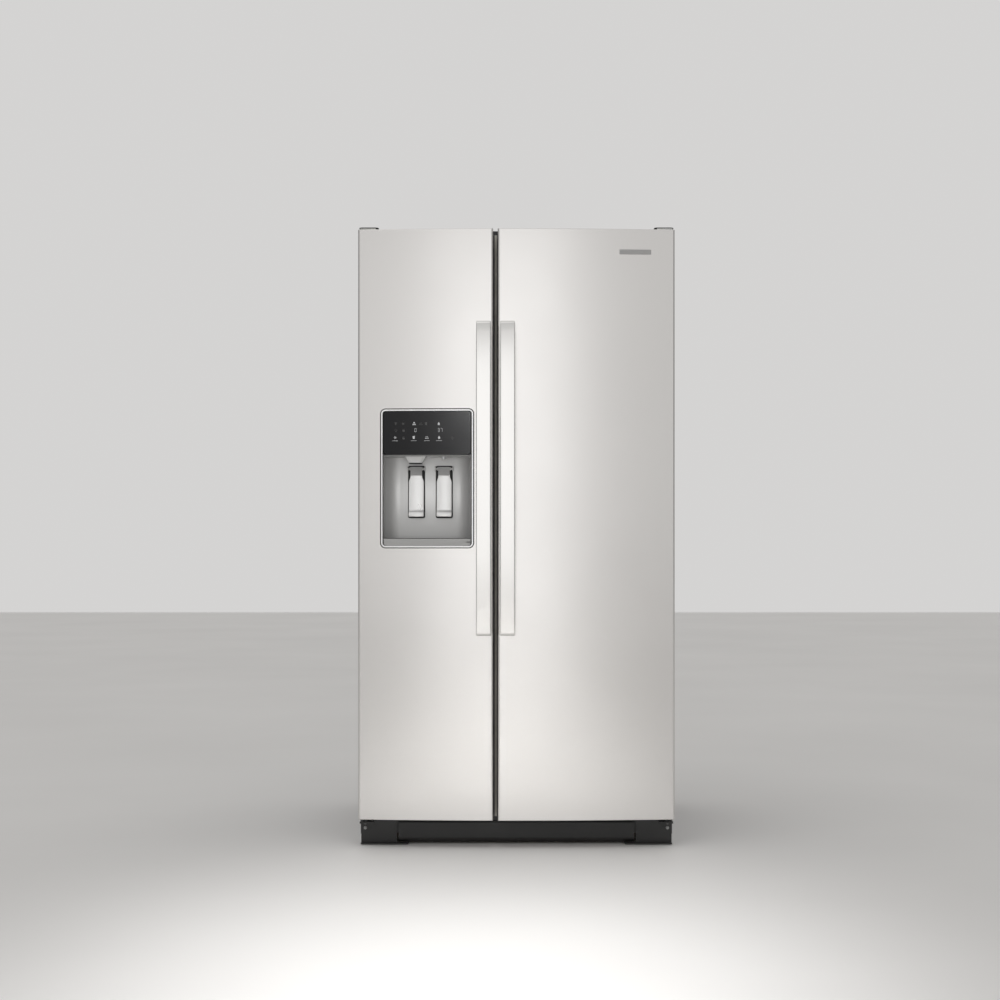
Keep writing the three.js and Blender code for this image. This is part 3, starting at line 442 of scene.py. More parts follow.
def white_plastic(name, colour, roughness, peel):
    """Glossy white with the soft orange peel of formed plastic."""
    material = shader_material(name, colour, roughness)
    bump(material, noise(material, peel, detail=1), 0.12, 0.05)
    tint(material, noise(material, 5), tuple(c * 0.995 for c in colour), colour)
    roughen(material, noise(material, 14), roughness - 0.004, roughness + 0.006)
    return material


def foam():
    material = shader_material("foam", (0.72, 0.6, 0.33), 0.95)
    bump(material, cells(material, 420), 0.8, 0.8)
    tint(material, noise(material, 30), (0.64, 0.5, 0.25), (0.78, 0.67, 0.4))
    return material


def gasket():
    material = shader_material("gasket", (0.09, 0.09, 0.09), 0.62)
    bump(material, noise(material, 500), 0.25, 0.04)
    tint(material, noise(material, 20), (0.075, 0.075, 0.075), (0.105, 0.105, 0.103))
    return material


def panel_black():
    material = shader_material("panel_black", (0.006, 0.006, 0.007), 0.17)
    principled(material).inputs["Specular IOR Level"].default_value = 0.26
    roughen(material, noise(material, 9, detail=4), 0.16, 0.19)
    tint(material, noise(material, 4), (0.005, 0.005, 0.006), (0.009, 0.009, 0.01))
    return material


def silver_paint(name, colour, roughness, metallic, grain=0.05):
    """Plastic with silver paint: fine flakes under a satin lacquer."""
    material = shader_material(name, colour, roughness, metallic)
    flakes = cells(material, 2600)
    tint(material, flakes, tuple(c * 0.93 for c in colour), tuple(min(1, c * 1.05) for c in colour))
    roughen(material, noise(material, 12), roughness - 0.01, roughness + 0.015)
    bump(material, flakes, grain, 0.02)
    return material


# Near-black for the thin rings round the dispenser's bezel: painted shade for the shadow gaps
# there.
def seal_black():
    material = coated_black("seal_black", 0.004, 0.6)
    principled(material).inputs["Specular IOR Level"].default_value = 0.15
    return material


def clear_plastic():
    material = shader_material("clear_plastic", (0.86, 0.9, 0.91), 0.08, alpha=0.35)
    clearer_when_faced(material, 0.2, 0.62)
    bump(material, noise(material, 60, detail=1), 0.12, 0.1)
    roughen(material, noise(material, 20), 0.05, 0.13)
    return material


def shelf_glass():
    material = shader_material("shelf_glass", (0.72, 0.86, 0.82), 0.03, alpha=0.35)
    clearer_when_faced(material, 0.2, 0.75)
    roughen(material, noise(material, 16), 0.015, 0.05)
    return material


def aluminium():
    material = brushed("aluminium", (0.78, 0.79, 0.8), 0.34, "x", 0.2)
    tint(material, noise(material, 40), (0.72, 0.73, 0.745), (0.82, 0.83, 0.835))
    return material


def nylon():
    material = shader_material("nylon", (0.68, 0.66, 0.6), 0.5)
    bump(material, noise(material, 350), 0.3, 0.05)
    tint(material, noise(material, 25), (0.62, 0.6, 0.53), (0.72, 0.7, 0.645))
    return material


def panel_print(name, level, glow):
    """Panel print with a little light of its own."""
    material = shader_material(name, (level, level, level * 1.02), 0.4)
    shader = principled(material)
    shader.inputs["Emission Color"].default_value = (0.9, 0.95, 1.0, 1)
    shader.inputs["Emission Strength"].default_value = glow
    tint(material, noise(material, 900), (level * 0.92,) * 3, (level,) * 3)
    return material


LOOKS = {
    make.__name__: make()
    for make in (
        cabinet_paint, galvanised, zinc, foam, gasket, panel_black, seal_black, clear_plastic,
        shelf_glass, aluminium, nylon,
    )
}
FAMILIES = {
    brushed: {
        "stainless": ((0.79, 0.775, 0.76), 0.24, "z"),
        "handle_steel": ((0.775, 0.765, 0.75), 0.2, "z"),
    },
    coated_black: {
        "bracket_black": (0.018, 0.36, 500, 0.06),
        "machine_black": (0.02, 0.3, 160, 0.08),
        "machine_cover_black": (0.03, 0.55, 1100, 0.08),
        "black_plastic": (0.016, 0.42, 900, 0.05),
        "fan_black": (0.012, 0.33, 400, 0.02),
    },
    white_plastic: {
        "liner_white": ((0.86, 0.865, 0.86), 0.32, 170),
        "door_liner": ((0.85, 0.855, 0.85), 0.34, 190),
        "chute_grey": ((0.68, 0.685, 0.68), 0.22, 300),
    },
    silver_paint: {
        "dispenser_silver": ((0.5, 0.5, 0.495), 0.34, 0.4),
        "lever_silver": ((0.93, 0.93, 0.925), 0.26, 0.5, 0.02),
        "bezel_silver": ((0.97, 0.97, 0.965), 0.3, 0.85, 0.01),
        "tray_silver": ((0.41, 0.41, 0.405), 0.36, 0.4),
        "collar_grey": ((0.36, 0.36, 0.357), 0.4, 0.3),
    },
    panel_print: {
        "print_white": (0.5, 0.16),
        "print_grey": (0.085, 0.0),
    },
}
for family, members in FAMILIES.items():
    LOOKS.update({name: family(name, *settings) for name, settings in members.items()})


# ---- pieces

def rounded_edges(obj, width, segments, angle=32.0):
    """Rounds a piece's sharp edges and keeps its flat faces flat in the light."""
    if width:
        modifier = obj.modifiers.new("edges", "BEVEL")
        modifier.width = width * MM
        modifier.segments = segments
        modifier.limit_method = "ANGLE"
        modifier.angle_limit = math.radians(angle)
    normals = obj.modifiers.new("normals", "WEIGHTED_NORMAL")
    normals.keep_sharp = True


def piece(name, shapes, slot, body, replaces=(), edge=0.0, segments=2, look=None):
    """A finished piece from one shape or a list of shapes, riding on a body.

    It looks like its material slot unless another look is named."""
    shape = merged(shapes) if isinstance(shapes, list) else shapes
    bm = as_bmesh(([tuple(c * MM for c in p) for p in shape[0]], shape[1]))
    for face in bm.faces:
        face.smooth = True
    for line in bm.edges:
        if not edge and line.is_manifold and line.calc_face_angle() > math.radians(34):
            line.smooth = False
    mesh = bpy.data.meshes.new(name)
    bm.to_mesh(mesh)
    bm.free()
    mesh.materials.append(LOOKS[look or slot])
    obj = bpy.data.objects.new(name, mesh)
    bpy.context.scene.collection.objects.link(obj)
    rounded_edges(obj, edge, segments)
    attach(obj, body)
    if replaces:
        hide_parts(*replaces)
    return obj


def body_of(node):
    return frame["nodes"][node]["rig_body"]


def fine(node, shapes, **settings):
    """The fine shape that stands for a CAD node."""
    return piece(f"{node}_fine", shapes, SLOTS[node], body_of(node), (node,), **settings)


def extra(name, shapes, slot, node, **settings):
    """A detail that rides with a CAD node."""
    return piece(name, shapes, slot, body_of(node), **settings)


def kept(node, width, segments=2):
    """A CAD node that stays, with rounded edges and its slot's material."""
    obj = frame["nodes"][node]
    weld = obj.modifiers.new("weld", "WELD")
    weld.merge_threshold = 0.01 * MM
    flat = obj.modifiers.new("flat", "DECIMATE")
    flat.decimate_type = "DISSOLVE"
    flat.angle_limit = math.radians(0.5)
    rounded_edges(obj, width, segments)
    obj.data.materials.clear()
    obj.data.materials.append(LOOKS[SLOTS[node]])
    for polygon in obj.data.polygons:
        polygon.use_smooth = True


# ---- cabinet

Space = namedtuple("Space", "left right step_inner step_top")
FREEZER = Space(-388.0, -91.5, -349.0, 410.0)
FRIDGE = Space(-27.5, 398.0, 351.0, 523.0)
FLOOR = 120.0
CEILING = 1680.0
REAR_WALL = 366.0
RAISED_FLOOR = (140.0, 350.0)  # starts at this y, and is this high
STEP_FRONT = -222.0
LEDGE_FRONT = -200.0
LEDGE = 7.0
LEDGE_DROP = 8.0


def cabinet_wrapper():
    w = WRAPPER
    crest = [(w.z0, 0.0), (w.z1 - 3, 0.0), (w.z1 - 1.6, 0.35), (w.z1 - 0.4, 1.5), (w.z1, 3.0)]
    outer = loft([
        ring("z", rounded(w.x0 + d, w.x1 - d, w.y0 + d, w.y1 - d, 3.2 - d), z) for z, d in crest
    ])
    front = w.y0 + SHEET
    hollow = box(w.x0 + SHEET, w.x1 - SHEET, front, w.y1 + 5, 0, w.z1 - SHEET)
    toe_space = box(w.x0 + SHEET, w.x1 - SHEET, w.y0 - 5, 0, 0, 66)
    mouths = [
        prism("y", rounded(s.left, s.right, FLOOR, CEILING, 10), w.y0 - 5, front + 5)
        for s in (FREEZER, FRIDGE)
    ]
    fine("cabinet_wrapper", cut(outer, hollow, toe_space, *mouths), edge=0.35)


def mullion_strip():
    """A near-white trim strip down the cabinet's middle that shows between the doors, painted light
    for the light that reaches into the gap, and a black cap over the gap's top that is painted
    shade.
    """
    middle = (FREEZER_SKIN.x1 + FRIDGE_SKIN.x0) / 2
    front, top = WRAPPER.y0, WRAPPER.z1
    # The strip's near-white nylon is painted light for the light that reaches the mullion through
    # the gap.
    strip = slab("y", middle - 3, middle + 3.4, 79, top - 2, front + 0.4, front - 0.9, 1, 0.4)
    low, high = top - 0.5, top + 10.5
    # The cap's black is painted shade over the top of the gap between the doors.
    cap = slab("z", middle - 13, middle + 13, front + 0.5, front + 44, low, high, 4, 1.5)
    extra("mullion_strip", strip, "nylon", "cabinet_wrapper")
    extra("mullion_cap", cap, "black_plastic", "cabinet_wrapper")


def liner(node, space):
    """A vacuum-formed liner: the compartment's walls with wide radii, open at the front."""
    room = (space.left, space.right, CABINET_FRONT + SHEET)
    lower = box(*room, RAISED_FLOOR[0], FLOOR, CEILING)
    upper = box(*room, REAR_WALL, RAISED_FLOOR[1], CEILING)
    whole = combine(lower, upper, "UNION")
    inner = space.step_inner
    sides = (space.left - 5, inner) if inner < 0 else (inner, space.right + 5)
    whole = cut(whole, box(*sides, STEP_FRONT, REAR_WALL + 5, FLOOR - 5, space.step_top))
    bm = as_bmesh(whole)
    mouth = [f for f in bm.faces if all(v.co.y < room[2] + 1 for v in f.verts)]
    bmesh.ops.delete(bm, geom=mouth, context="FACES")
    edges = [e for e in bm.edges if e.is_manifold and e.calc_face_angle() > 0.5]
    bmesh.ops.bevel(
        bm, geom=edges, offset=11, offset_type="OFFSET", segments=5, profile=0.5,
        affect="EDGES", clamp_overlap=True,
    )
    obj = fine(node, as_shape(bm))
    thickness = obj.modifiers.new("thickness", "SOLIDIFY")
    thickness.thickness = 1.8 * MM
    thickness.offset = 1
    obj.modifiers.move(1, 0)


def ledge_box(x0, x1, back, top):
    return slab("z", x0, x1, LEDGE_FRONT, back, top - LEDGE_DROP, top, 3.5, 1.5)


SHELF_NODES = {
    "freezer_shelf_upper": FREEZER,
    "freezer_shelf_lower": FREEZER,
    "fridge_shelf_upper": FRIDGE,
    "fridge_shelf_middle": FRIDGE,
    "crisper_cover": FRIDGE,
}
DRAWER_NODES = {
    "freezer_basket": FREEZER,
    "crisper_lower": FRIDGE,
    "crisper_upper": FRIDGE,
}
SHELF_REST = 12.3  # a shelf's top stands this far over its ledges
RIM_REST = 6.3  # and a drawer's rim this far over its own


def ledges():
    """The ledges of the shelves, and those that the drawers' rims ride on."""
    for liner_node, space in (("freezer_liner", FREEZER), ("fresh_food_liner", FRIDGE)):
        made = []
        for node in [n for n, s in SHELF_NODES.items() if s is space]:
            shelf = limits(node)
            top = shelf.z1 - SHELF_REST
            made += [
                ledge_box(space.left - 1, space.left + LEDGE, shelf.y1, top),
                ledge_box(space.right - LEDGE, space.right + 1, shelf.y1, top),
            ]
        walls = sorted([space.step_inner, space.left if space.step_inner > 0 else space.right])
        for node in [n for n, s in DRAWER_NODES.items() if s is space]:
            tub_box = limits(node)
            top = tub_box.z1 - RIM_REST
            made += [
                ledge_box(walls[0] - 1, tub_box.x0 + 3, tub_box.y1 + 4, top),
                ledge_box(tub_box.x1 - 3, walls[1] + 1, tub_box.y1 + 4, top),
            ]
        extra(f"{liner_node}_ledges", made, "liner_white", liner_node)


def light_covers():
    """A ribbed lens under the ceiling of each compartment."""
    for name, x, node in (("freezer", -240, "freezer_liner"), ("fridge", 150, "fresh_food_liner")):
        lens = slab("z", x - 60, x + 60, -255, -205, CEILING + 1, CEILING - 13, 14, 6)
        ribs = [
            tube([(x - 50, y, CEILING - 13), (x + 50, y, CEILING - 13)], 1.2, 8)
            for y in range(-245, -210, 6)
        ]
        extra(f"{name}_light_cover", [lens, *ribs], "clear_plastic", node)


def filter_saddles():
    saddle = limits("water_filter")
    x, z = saddle.x, saddle.z
    made = []
    for y in (-70, 60):
        block = slab("y", x - 38, x + 38, z, CEILING + 1, y, y + 6, 2, 1)
        made.append(cut(block, lathe("y", (x, z), [(29.8, y - 1), (29.8, y + 7)], 48)))
    extra("filter_saddles", made, "liner_white", "fresh_food_liner")


def evaporator_cover():
    """The freezer's rear wall, with the louvres of the fan and of the return air."""
    c = limits("evaporator_cover")
    x, z = c.x, limits("evaporator_fan").z
    plate = slab("y", *c.face, c.y1, c.y0, 10, 1.2)
    radius = 52
    return_air, ribbed = (430, 474), (520, 1180)
    slots = []
    for i in range(-5, 6):
        half = math.sqrt(radius**2 - (i * 9) ** 2)
        slots.append(rounded(x - half, x + half, z + i * 9 - 2.6, z + i * 9 + 2.6, 2.5))
    for i in range(-9, 10):
        slots.append(rounded(x + i * 11 - 2.5, x + i * 11 + 2.5, *return_air, 2.4))
    made = cut(plate, merged([prism("y", slot, c.y0 - 9, c.y1 + 9) for slot in slots]))
    face = c.y0
    section = [(0, face + 1), (0, face - 1), (3, face - 4), (6, face - 1), (6, face + 1)]
    guard = frame_ring("y", x - 62, x + 62, z - 62, z + 62, 62, section, 12)
    ribs = [
        slab("y", c.x0 + 40 + i * 72, c.x0 + 48 + i * 72, *ribbed, face + 1, face - 2, 4, 1.5)
        for i in range(4)
    ]
    fine("evaporator_cover", made, edge=0.5)
    extra("evaporator_cover_ribs", [guard, *ribs], "liner_white", "evaporator_cover")


def back():
    """The back panel and the slotted cover of the machine room, with their screws."""
    kept("back_panel", 0.3)
    cover = limits("machine_cover")
    plate = slab("y", *cover.face, cover.y0, cover.y1, 6, 0.5)
    slots = [
        prism("y", rounded(x - 36, x + 36, z - 2.6, z + 2.6, 2.5), cover.y0 - 5, cover.y1 + 5)
        for x in (-340, -255, -170, -85, 85, 170, 255, 340) for z in range(88, 240, 13)
    ]
    fine("machine_cover", cut(plate, merged(slots)), edge=0.2, segments=1)
    rows = [(x, cover.z1 - 9) for x in range(-400, 401, 160)]
    rows += [(x, cover.z0 + 10) for x in (-400, -133, 133, 400)]
    screws = [screw(place, cover.y1) for place in rows]
    extra("machine_cover_screws", screws, "zinc", "machine_cover")
    panel = limits("back_panel")
    rim = [(x, panel.z1 - 14) for x in range(-420, 421, 168)]
    rim += [(side * 434, z) for side in (-1, 1) for z in range(420, 1660, 240)]
    screws = [screw(place, panel.y1 - 1.8) for place in rim]
    extra("back_panel_screws", screws, "zinc", "back_panel")


def screw(centre, face, radius=4.0, height=1.1):
    """A pan head with a small recess, on a face that looks at +Y."""
    low = face + 0.35 * height
    profile = [(radius, face - 0.3), (radius, low), (radius * 0.82, face + 0.8 * height)]
    profile += [(radius * 0.4, face + height), (radius * 0.36, low), (0.1, low)]
    return lathe("y", centre, profile, 20)


# ---- base, hinges and rollers

def base_grille():
    """A bowed kick plate, rolled back at its foot, with a flange behind the doors' edge, black like
    the grille and also painted shade for the band under the doors.
    """
    g = limits("base_grille")
    brow = g.z1 - 9
    # The flange up to the top is partly painted shade: its black fills the band under the doors,
    # which lies in shadow.
    outside = [(g.y1 - 4.2, g.z1), (g.y1 - 6, g.z1), (g.y1 - 6, brow + 3)]
    high, low = (g.y0 + 10, brow - 9), (g.y0 + 15, g.z0 + 15)
    outside += arc(high, 10, 95, 180, 8) + arc(low, 15, 180, 270, 10)
    outside += arc((g.y1 - 2, g.z0 + 1.5), 1.5, 270, 360, 4) + [(g.y1 - 2, g.z0 + 3)]
    inside = arc(low, 12, 270, 180, 10) + arc(high, 7, 180, 95, 8)
    inside.append((g.y1 - 4.2, brow - 2))
    fine("base_grille", prism("x", outside + inside, g.x0, g.x1), edge=0.5)
    # Black fillers beside the grille's ends are painted shade where the cabinet's front would show
    # in the gaps to the brackets.
    ends = [box(*x, g.y1 - 4.2, g.y1 - 5.4, 30, g.z1) for x in ((g.x0 - 6, g.x0), (g.x1, g.x1 + 6))]
    extra("base_grille_ends", ends, "black_plastic", "base_grille", edge=0.3, segments=1)


def hexagon_bolt(centre, face, across=3.8, height=4.0):
    """A hexagon head on a washer, on a face that looks at -Y."""
    rim = across * 1.25
    washer = lathe("y", centre, [(rim, face), (rim, face - 1), (across, face - 1)], 28)
    head = loft([
        ring("y", circle(centre, across * k, 6), face - t)
        for k, t in ((1, 0.9), (1, height - 0.7), (0.86, height))
    ])
    return [washer, head]


def hinges():
    for side, word in ((-1, "left"), (1, "right")):
        lower = f"lower_hinge_{word}"
        upper = f"upper_hinge_{word}"
        kept(lower, 0.9, 3)
        kept(upper, 0.7)
        plate = limits(lower)
        bolts = [s for z in (46, 61) for s in hexagon_bolt((side * 434, z), plate.y1 - 3.2)]
        settings = {"edge": 0.25, "look": "collar_grey"}
        extra(f"lower_hinge_bolts_{word}", bolts, "zinc", lower, **settings)
        hinge_cover(f"hinge_cover_{word}")


def hinge_cover(node):
    c = limits(node)
    lid = slab("z", c.x0, c.x1, c.y0, c.y1, c.z1 - 2.2, c.z1, 9, 1.6)
    box_front = -292
    skirt = slab("z", c.x0, c.x1, box_front, c.y1, c.z0, c.z1 - 0.5, 7, 2.0)
    hollow = box(c.x0 + 2, c.x1 - 2, box_front - 3, c.y1 - 2, c.z0 - 1, c.z1 - 2.4)
    fine(node, merged([lid, cut(skirt, hollow)]), edge=0.35)


def rollers_and_legs():
    for word in ("left", "right"):
        for node in (f"front_roller_{word}", f"rear_roller_{word}"):
            r = limits(node)
            centre = (r.y, r.z)
            radius = (r.y1 - r.y0) / 2
            x = r.x
            tyre = [(4, 11), (8, 12), (12, 9), (radius - 4, 9), (radius - 3, 12)]
            tyre += [(radius - 1, 11.5), (radius, 9)]
            tyre = [(a, -t) for a, t in tyre] + tyre[::-1]
            axle = [(3, r.x0), (4, r.x0 + 1), (4, r.x1 - 1), (3, r.x1)]
            wheel = lathe("x", centre, [(a, x + t) for a, t in tyre], 64)
            fine(node, [wheel, lathe("x", centre, axle, 24)])
        leveling_leg(f"leveling_leg_{word}")


def leveling_leg(node):
    """A threaded stem on a hexagonal foot."""
    leg = limits(node)
    centre = (leg.x, leg.y)
    foot = loft([
        ring("z", arc(centre, 15 * k, 90, 450, 6)[:-1], z)
        for k, z in ((0.93, 0), (1, 1.2), (1, 7.8), (0.93, 9))
    ])
    thread = [(5.2, 8.5)]
    for i in range(20):
        z = 10 + i * 2.4
        thread += [(5.2, z), (6, z + 0.8), (6, z + 1.4), (5.2, z + 2.2)]
    thread.append((4.4, leg.z1))
    fine(node, [foot, lathe("z", centre, thread, 24)])


# ---- refrigeration

def compressor():
    c = limits("compressor")
    centre = (250, c.y)
    base = c.z0
    shell = [(30, 12), (58, 13), (71, 19), (79, 31), (83, 50), (84, 72)]
    shell += [(86.5, 72), (87, 75), (86.5, 78), (84, 78)]
    shell += [(83, 100), (78, 120), (67, 136), (48, 148), (24, 153), (2, 154)]
    body = lathe("z", centre, [(r, base + z) for r, z in shell], 72)
    plate = slab("z", 157, 343, c.y0 + 2, c.y1 - 2, base + 8, base + 11, 12, 0.8)
    rubber = [(11, 0), (12, 2), (9, 5), (12, 8), (11, 13), (5, 14)]
    grommets = [
        lathe("z", (x, y), [(r, base + z) for r, z in rubber], 28)
        for x in (172, 328) for y in (c.y0 + 16, c.y1 - 16)
    ]
    terminal = slab("x", -32 + centre[1], 32 + centre[1], base + 50, base + 108, 176, 152, 6, 3)
    fine("compressor", [body, plate, *grommets, terminal])
    x, y = centre
    pipes = [
        tube([
            (x + 30, y - 76 + k * 14, base + 100), (x + 36, y - 92, base + 104 + k * 10),
            (x + 60, y - 104, base + 130 + k * 20), (x + 66, y - 106, 290),
        ], 3.2, 10)
        for k in (0, 1)
    ]
    extra("compressor_pipes", pipes, "zinc", "compressor")


def finned_coil(node, pitch, tube_heights, tube_radius):
    """Thin fins on round tubes with return bends."""
    c = limits(node)
    inner = (c.x0 + 11, c.x1 - 12) if node == "condenser_coil" else (c.x0 + 8, c.x1 - 8)
    count = int((inner[1] - inner[0]) / pitch)
    y = c.y
    starts = [inner[0] + i * pitch for i in range(count + 1)]
    fins = [box(x, x + 0.5, c.y0, c.y1, c.z0, c.z1) for x in starts]
    rows = [tube([(c.x0 + 3, y, z), (c.x1 - 3, y, z)], tube_radius, 14) for z in tube_heights]
    bends = []
    for i, (low, high) in enumerate(zip(tube_heights, tube_heights[1:])):
        x = c.x1 - 3 if i % 2 else c.x0 + 3
        bends.append(tube([(x, y, low), (x, y, high)], tube_radius, 14))
    fine(node, [*fins, *rows, *bends])


def fan(node, axis, blades):
    """Curved, twisted blades round a domed hub."""
    f = limits(node)
    centre = (f.x, f.y, f.z)
    lowest = {"x": (f.x0, f.x1), "y": (f.y0, f.y1)}[axis]
    radius = (f.z1 - f.z0) / 2 * 0.985
    hub = radius * 0.28
    depth = (lowest[1] - lowest[0]) * 0.42
    made = []
    for i in range(blades):
        turn = 2 * math.pi * i / blades
        sections = []
        for k in range(9):
            r = hub * 0.8 + (radius - hub * 0.8) * k / 8
            half = 0.5 * radius * (0.5 + 0.32 * math.sin(math.pi * k / 8)) / r
            pitch = depth * (1 - 0.45 * k / 8)
            section = []
            for side in (1, -1):
                for j in range(7):
                    t = (j / 6 * 2 - 1) * side
                    angle = turn + t * half
                    camber = 0.12 * depth * (1 - t * t)
                    along = pitch * t * 0.9 + camber + side * 0.6
                    section.append((r * math.cos(angle), r * math.sin(angle), along))
            sections.append(section)
        made.append(loft(sections))
    dome = [(hub, -depth), (hub, depth * 0.6), (hub * 0.9, depth * 0.85), (hub * 0.5, depth)]
    made.append(lathe("z", (0, 0), dome, 32))
    points, faces = merged(made)
    turned = []
    for a, b, c in points:
        away = (c, a, b) if axis == "x" else (a, -c, b)
        turned.append(tuple(centre[k] + away[k] for k in range(3)))
    fine(node, (turned, faces))


# ---- inside the compartments

def shelves():
    """A glass plate in a white frame with a deeper nose at the front."""
    for node, space in SHELF_NODES.items():
        s = limits(node)
        z = s.z1 - 12
        half = (space.right - space.left) / 2 - 1
        middle = (space.left + space.right) / 2
        x0, x1 = middle - half, middle + half
        glass = slab("z", x0 + 5, x1 - 5, s.y0 + 6, s.y1 - 4, z + 1.2, z + 5.2, 5, 0.6)
        fine(node, glass)
        section = [(0, z + 0.6), (0.6, z), (11, z), (11.5, z + 1.1)]
        section += [(11, z + 5.3), (10, z + 6), (1, z + 6), (0, z + 5)]
        rim = frame_ring("z", x0, x1, s.y0, s.y1, 6, section)
        nose = slab("x", s.y0, s.y0 + 14, z - 8, z + 12, x0 + 8, x1 - 8, 4, 1)
        extra(f"{node}_frame", [rim, nose], "liner_white", node, edge=0.4)
    deli = limits("deli_drawer")
    foot = deli.z1 - RIM_REST
    shelf_foot = limits("fridge_shelf_middle").z1 - 11.5
    length = (-155, 236)
    rails = []
    for side, x in ((-1, deli.x0), (1, deli.x1)):
        web = (x + side * 1, x + side * 3.6)
        toe = (x - side * 3, x + side * 3.6)
        rails.append(box(min(web), max(web), *length, foot - 5, shelf_foot))
        rails.append(box(min(toe), max(toe), *length, foot - 5, foot))
    extra("deli_rails", rails, "liner_white", "fridge_shelf_middle", edge=0.8)


def drawers():
    """Clear tubs with a thick front, and a white grip and band along it."""
    for node in (*DRAWER_NODES, "deli_drawer"):
        d = limits(node)
        x0, x1 = d.x0 + 4, d.x1 - 4
        front = d.y0 + 14
        box_shape = tub(x0, x1, front + 4, d.y1, d.z0, d.z1, corner=16, draft=2.5, foot=10, lip=3.9)
        face = slab("y", x0 + 0.5, x1 - 0.5, d.z0 + 1, d.z1 - 0.3, front + 9, front, 9, 3.5)
        fine(node, [box_shape, face])
        half = (x1 - x0) / 2 * 0.55
        middle = (x0 + x1) / 2
        nose = arc((front - 10, d.z1 - 22.2), 3.8, 270, 90, 8)
        grip = prism("x", [
            (front + 1, d.z1 - 27), (front - 9, d.z1 - 26), *nose, (front - 6, d.z1 - 19.4),
            (front - 1, d.z1 - 15), (front + 1, d.z1 - 14),
        ], middle - half, middle + half)
        band = slab("y", x0 + 3, x1 - 3, d.z1 - 12, d.z1 - 1, front + 2, front - 1.2, 4, 1)
        extra(f"{node}_grip", [grip, band], "liner_white", node, edge=0.8, segments=3)


def water_filter():
    f = limits("water_filter")
    centre = (f.x, f.z)
    profile = [(20, f.y1), (26, f.y1 - 2), (29, f.y1 - 8)]
    steps = [(29, 60), (28, 58), (28, 52), (29, 50), (29, 24)]
    steps += [(31.5, 23), (33, 21), (33, 15), (31.8, 12.6), (29, 12)]
    profile += [(r, f.y0 + y) for r, y in steps]
    body = lathe("y", centre, profile, 72)
    x, z = centre
    grip = slab("y", x - 24, x + 24, z - 5, z + 5, f.y0 + 14, f.y0, 4.8, 3)
    ridges = [
        box(a - 0.9, a + 0.9, f.y0 + 14, f.y0 + 21, b - 0.8, b + 0.8) for a, b in circle(centre, 33)
    ]
    fine("water_filter", [body, grip, *ridges])


def icemaker():
    kept("icemaker", 2.2, 3)
    m = limits("icemaker")
    arm = [(m.x1 - 2, m.y1 - 40, m.z1 - 96), (m.x1 + 4, m.y1 - 30, m.z1 - 100)]
    arm += [(m.x1 + 5, m.y1 - 6, m.z1 - 150), (m.x1 + 2, m.y1 + 2, m.z1 - 156)]
    arm += [(m.x0 + 30, m.y1 + 2, m.z1 - 156)]
    arm += [(m.x0 + 20, m.y1 - 2, m.z1 - 150), (m.x0 + 18, m.y1 - 28, m.z1 - 102)]
    extra("icemaker_arm", tube(arm, 1.6, 10), "zinc", "icemaker")


# ---- doors

def door_skin(node, window=None):
    """The steel pan: crowned front, softly rounded at its edges and open at the back."""
    s = limits(node)

    def pan(inset, back, corner):
        layers = [(back, 0.0, 0.0)]
        for i in range(9):
            a = math.pi / 2 * i / 8
            depth = corner * (1 - math.sin(a))
            turn = 1 - math.cos(a)
            layers.append((DOOR_FRONT + inset + depth, corner * turn, 2.6 * turn))
        return loft([
            ring("y", rounded(
                s.x0 + inset + dx, s.x1 - inset - dx, s.z0 + inset + dz, s.z1 - inset - dz, 0.6, 3,
            ), y) for y, dx, dz in layers
        ])

    shape = cut(pan(0, DOOR_BACK, CORNER), pan(SHEET, DOOR_BACK + 5, CORNER - SHEET))
    if window:
        shape = cut(shape, prism("y", window, DOOR_FRONT - 20, DOOR_BACK - 20))
    fine(node, bend(shape, 8))


def door_outline(s, inset):
    """A door's plan, from its back left corner along the arc to its back right one."""
    steps = 24
    front = []
    for i in range(steps + 1):
        x = s.x0 + inset + (s.x1 - s.x0 - 2 * inset) * i / steps
        set_back = CORNER if i in (0, steps) else 0
        front.append((x, DOOR_FRONT + sag(x) + inset + set_back))
    return [(s.x0 + inset, DOOR_BACK), *front, (s.x1 - inset, DOOR_BACK)]


DYKE_WALL = 22.0
DYKE_BACK = -270.0
DYKE = {
    "freezer": (-377.0, -104.0, 135.0, 1665.0),
    "fridge": (-14.0, 386.0, 135.0, 1665.0),
}
BULGE = (838.0, 1256.0, -262.0)


def dyke(left, right, bottom, top):
    """The raised frame round a door's inside, with a rounded crest."""
    wall = DYKE_WALL
    crest = arc((7, DYKE_BACK - 7), 7, 180, 90, 5) + arc((wall - 7, DYKE_BACK - 7), 7, 90, 0, 5)
    foot = [(3, -1), (3, 0), (0.8, 1), (0, 3.5)]
    section = [(-out, DOOR_BACK + rise) for out, rise in foot] + crest
    section += [(wall + out, DOOR_BACK + rise) for out, rise in reversed(foot)]
    return frame_ring("y", left, right, bottom, top, 26, section, 8)


def door_inner(node, skin, area, *cuts, pads=()):
    s = limits(skin)
    core = prism("z", door_outline(s, 1.5), s.z0 + 1.5, s.z1 - 1.5)
    shape = combine(core, dyke(*area), "UNION")
    for pad in pads:
        shape = combine(shape, pad, "UNION")
    return fine(node, cut(shape, *cuts))


def bin_rests(name, node, area, heights):
    """Short pegs in the dyke walls that each door bin hangs on."""
    left, right = area[0] + DYKE_WALL, area[1] - DYKE_WALL
    pegs = []
    for z in heights:
        for x0, x1 in ((left - 1, left + 3), (right - 3, right + 1)):
            pegs.append(slab("z", x0, x1, DOOR_BACK + 4, DOOR_BACK + 22, z - 9, z, 1.8, 1.2))
    extra(name, pegs, "door_liner", node)


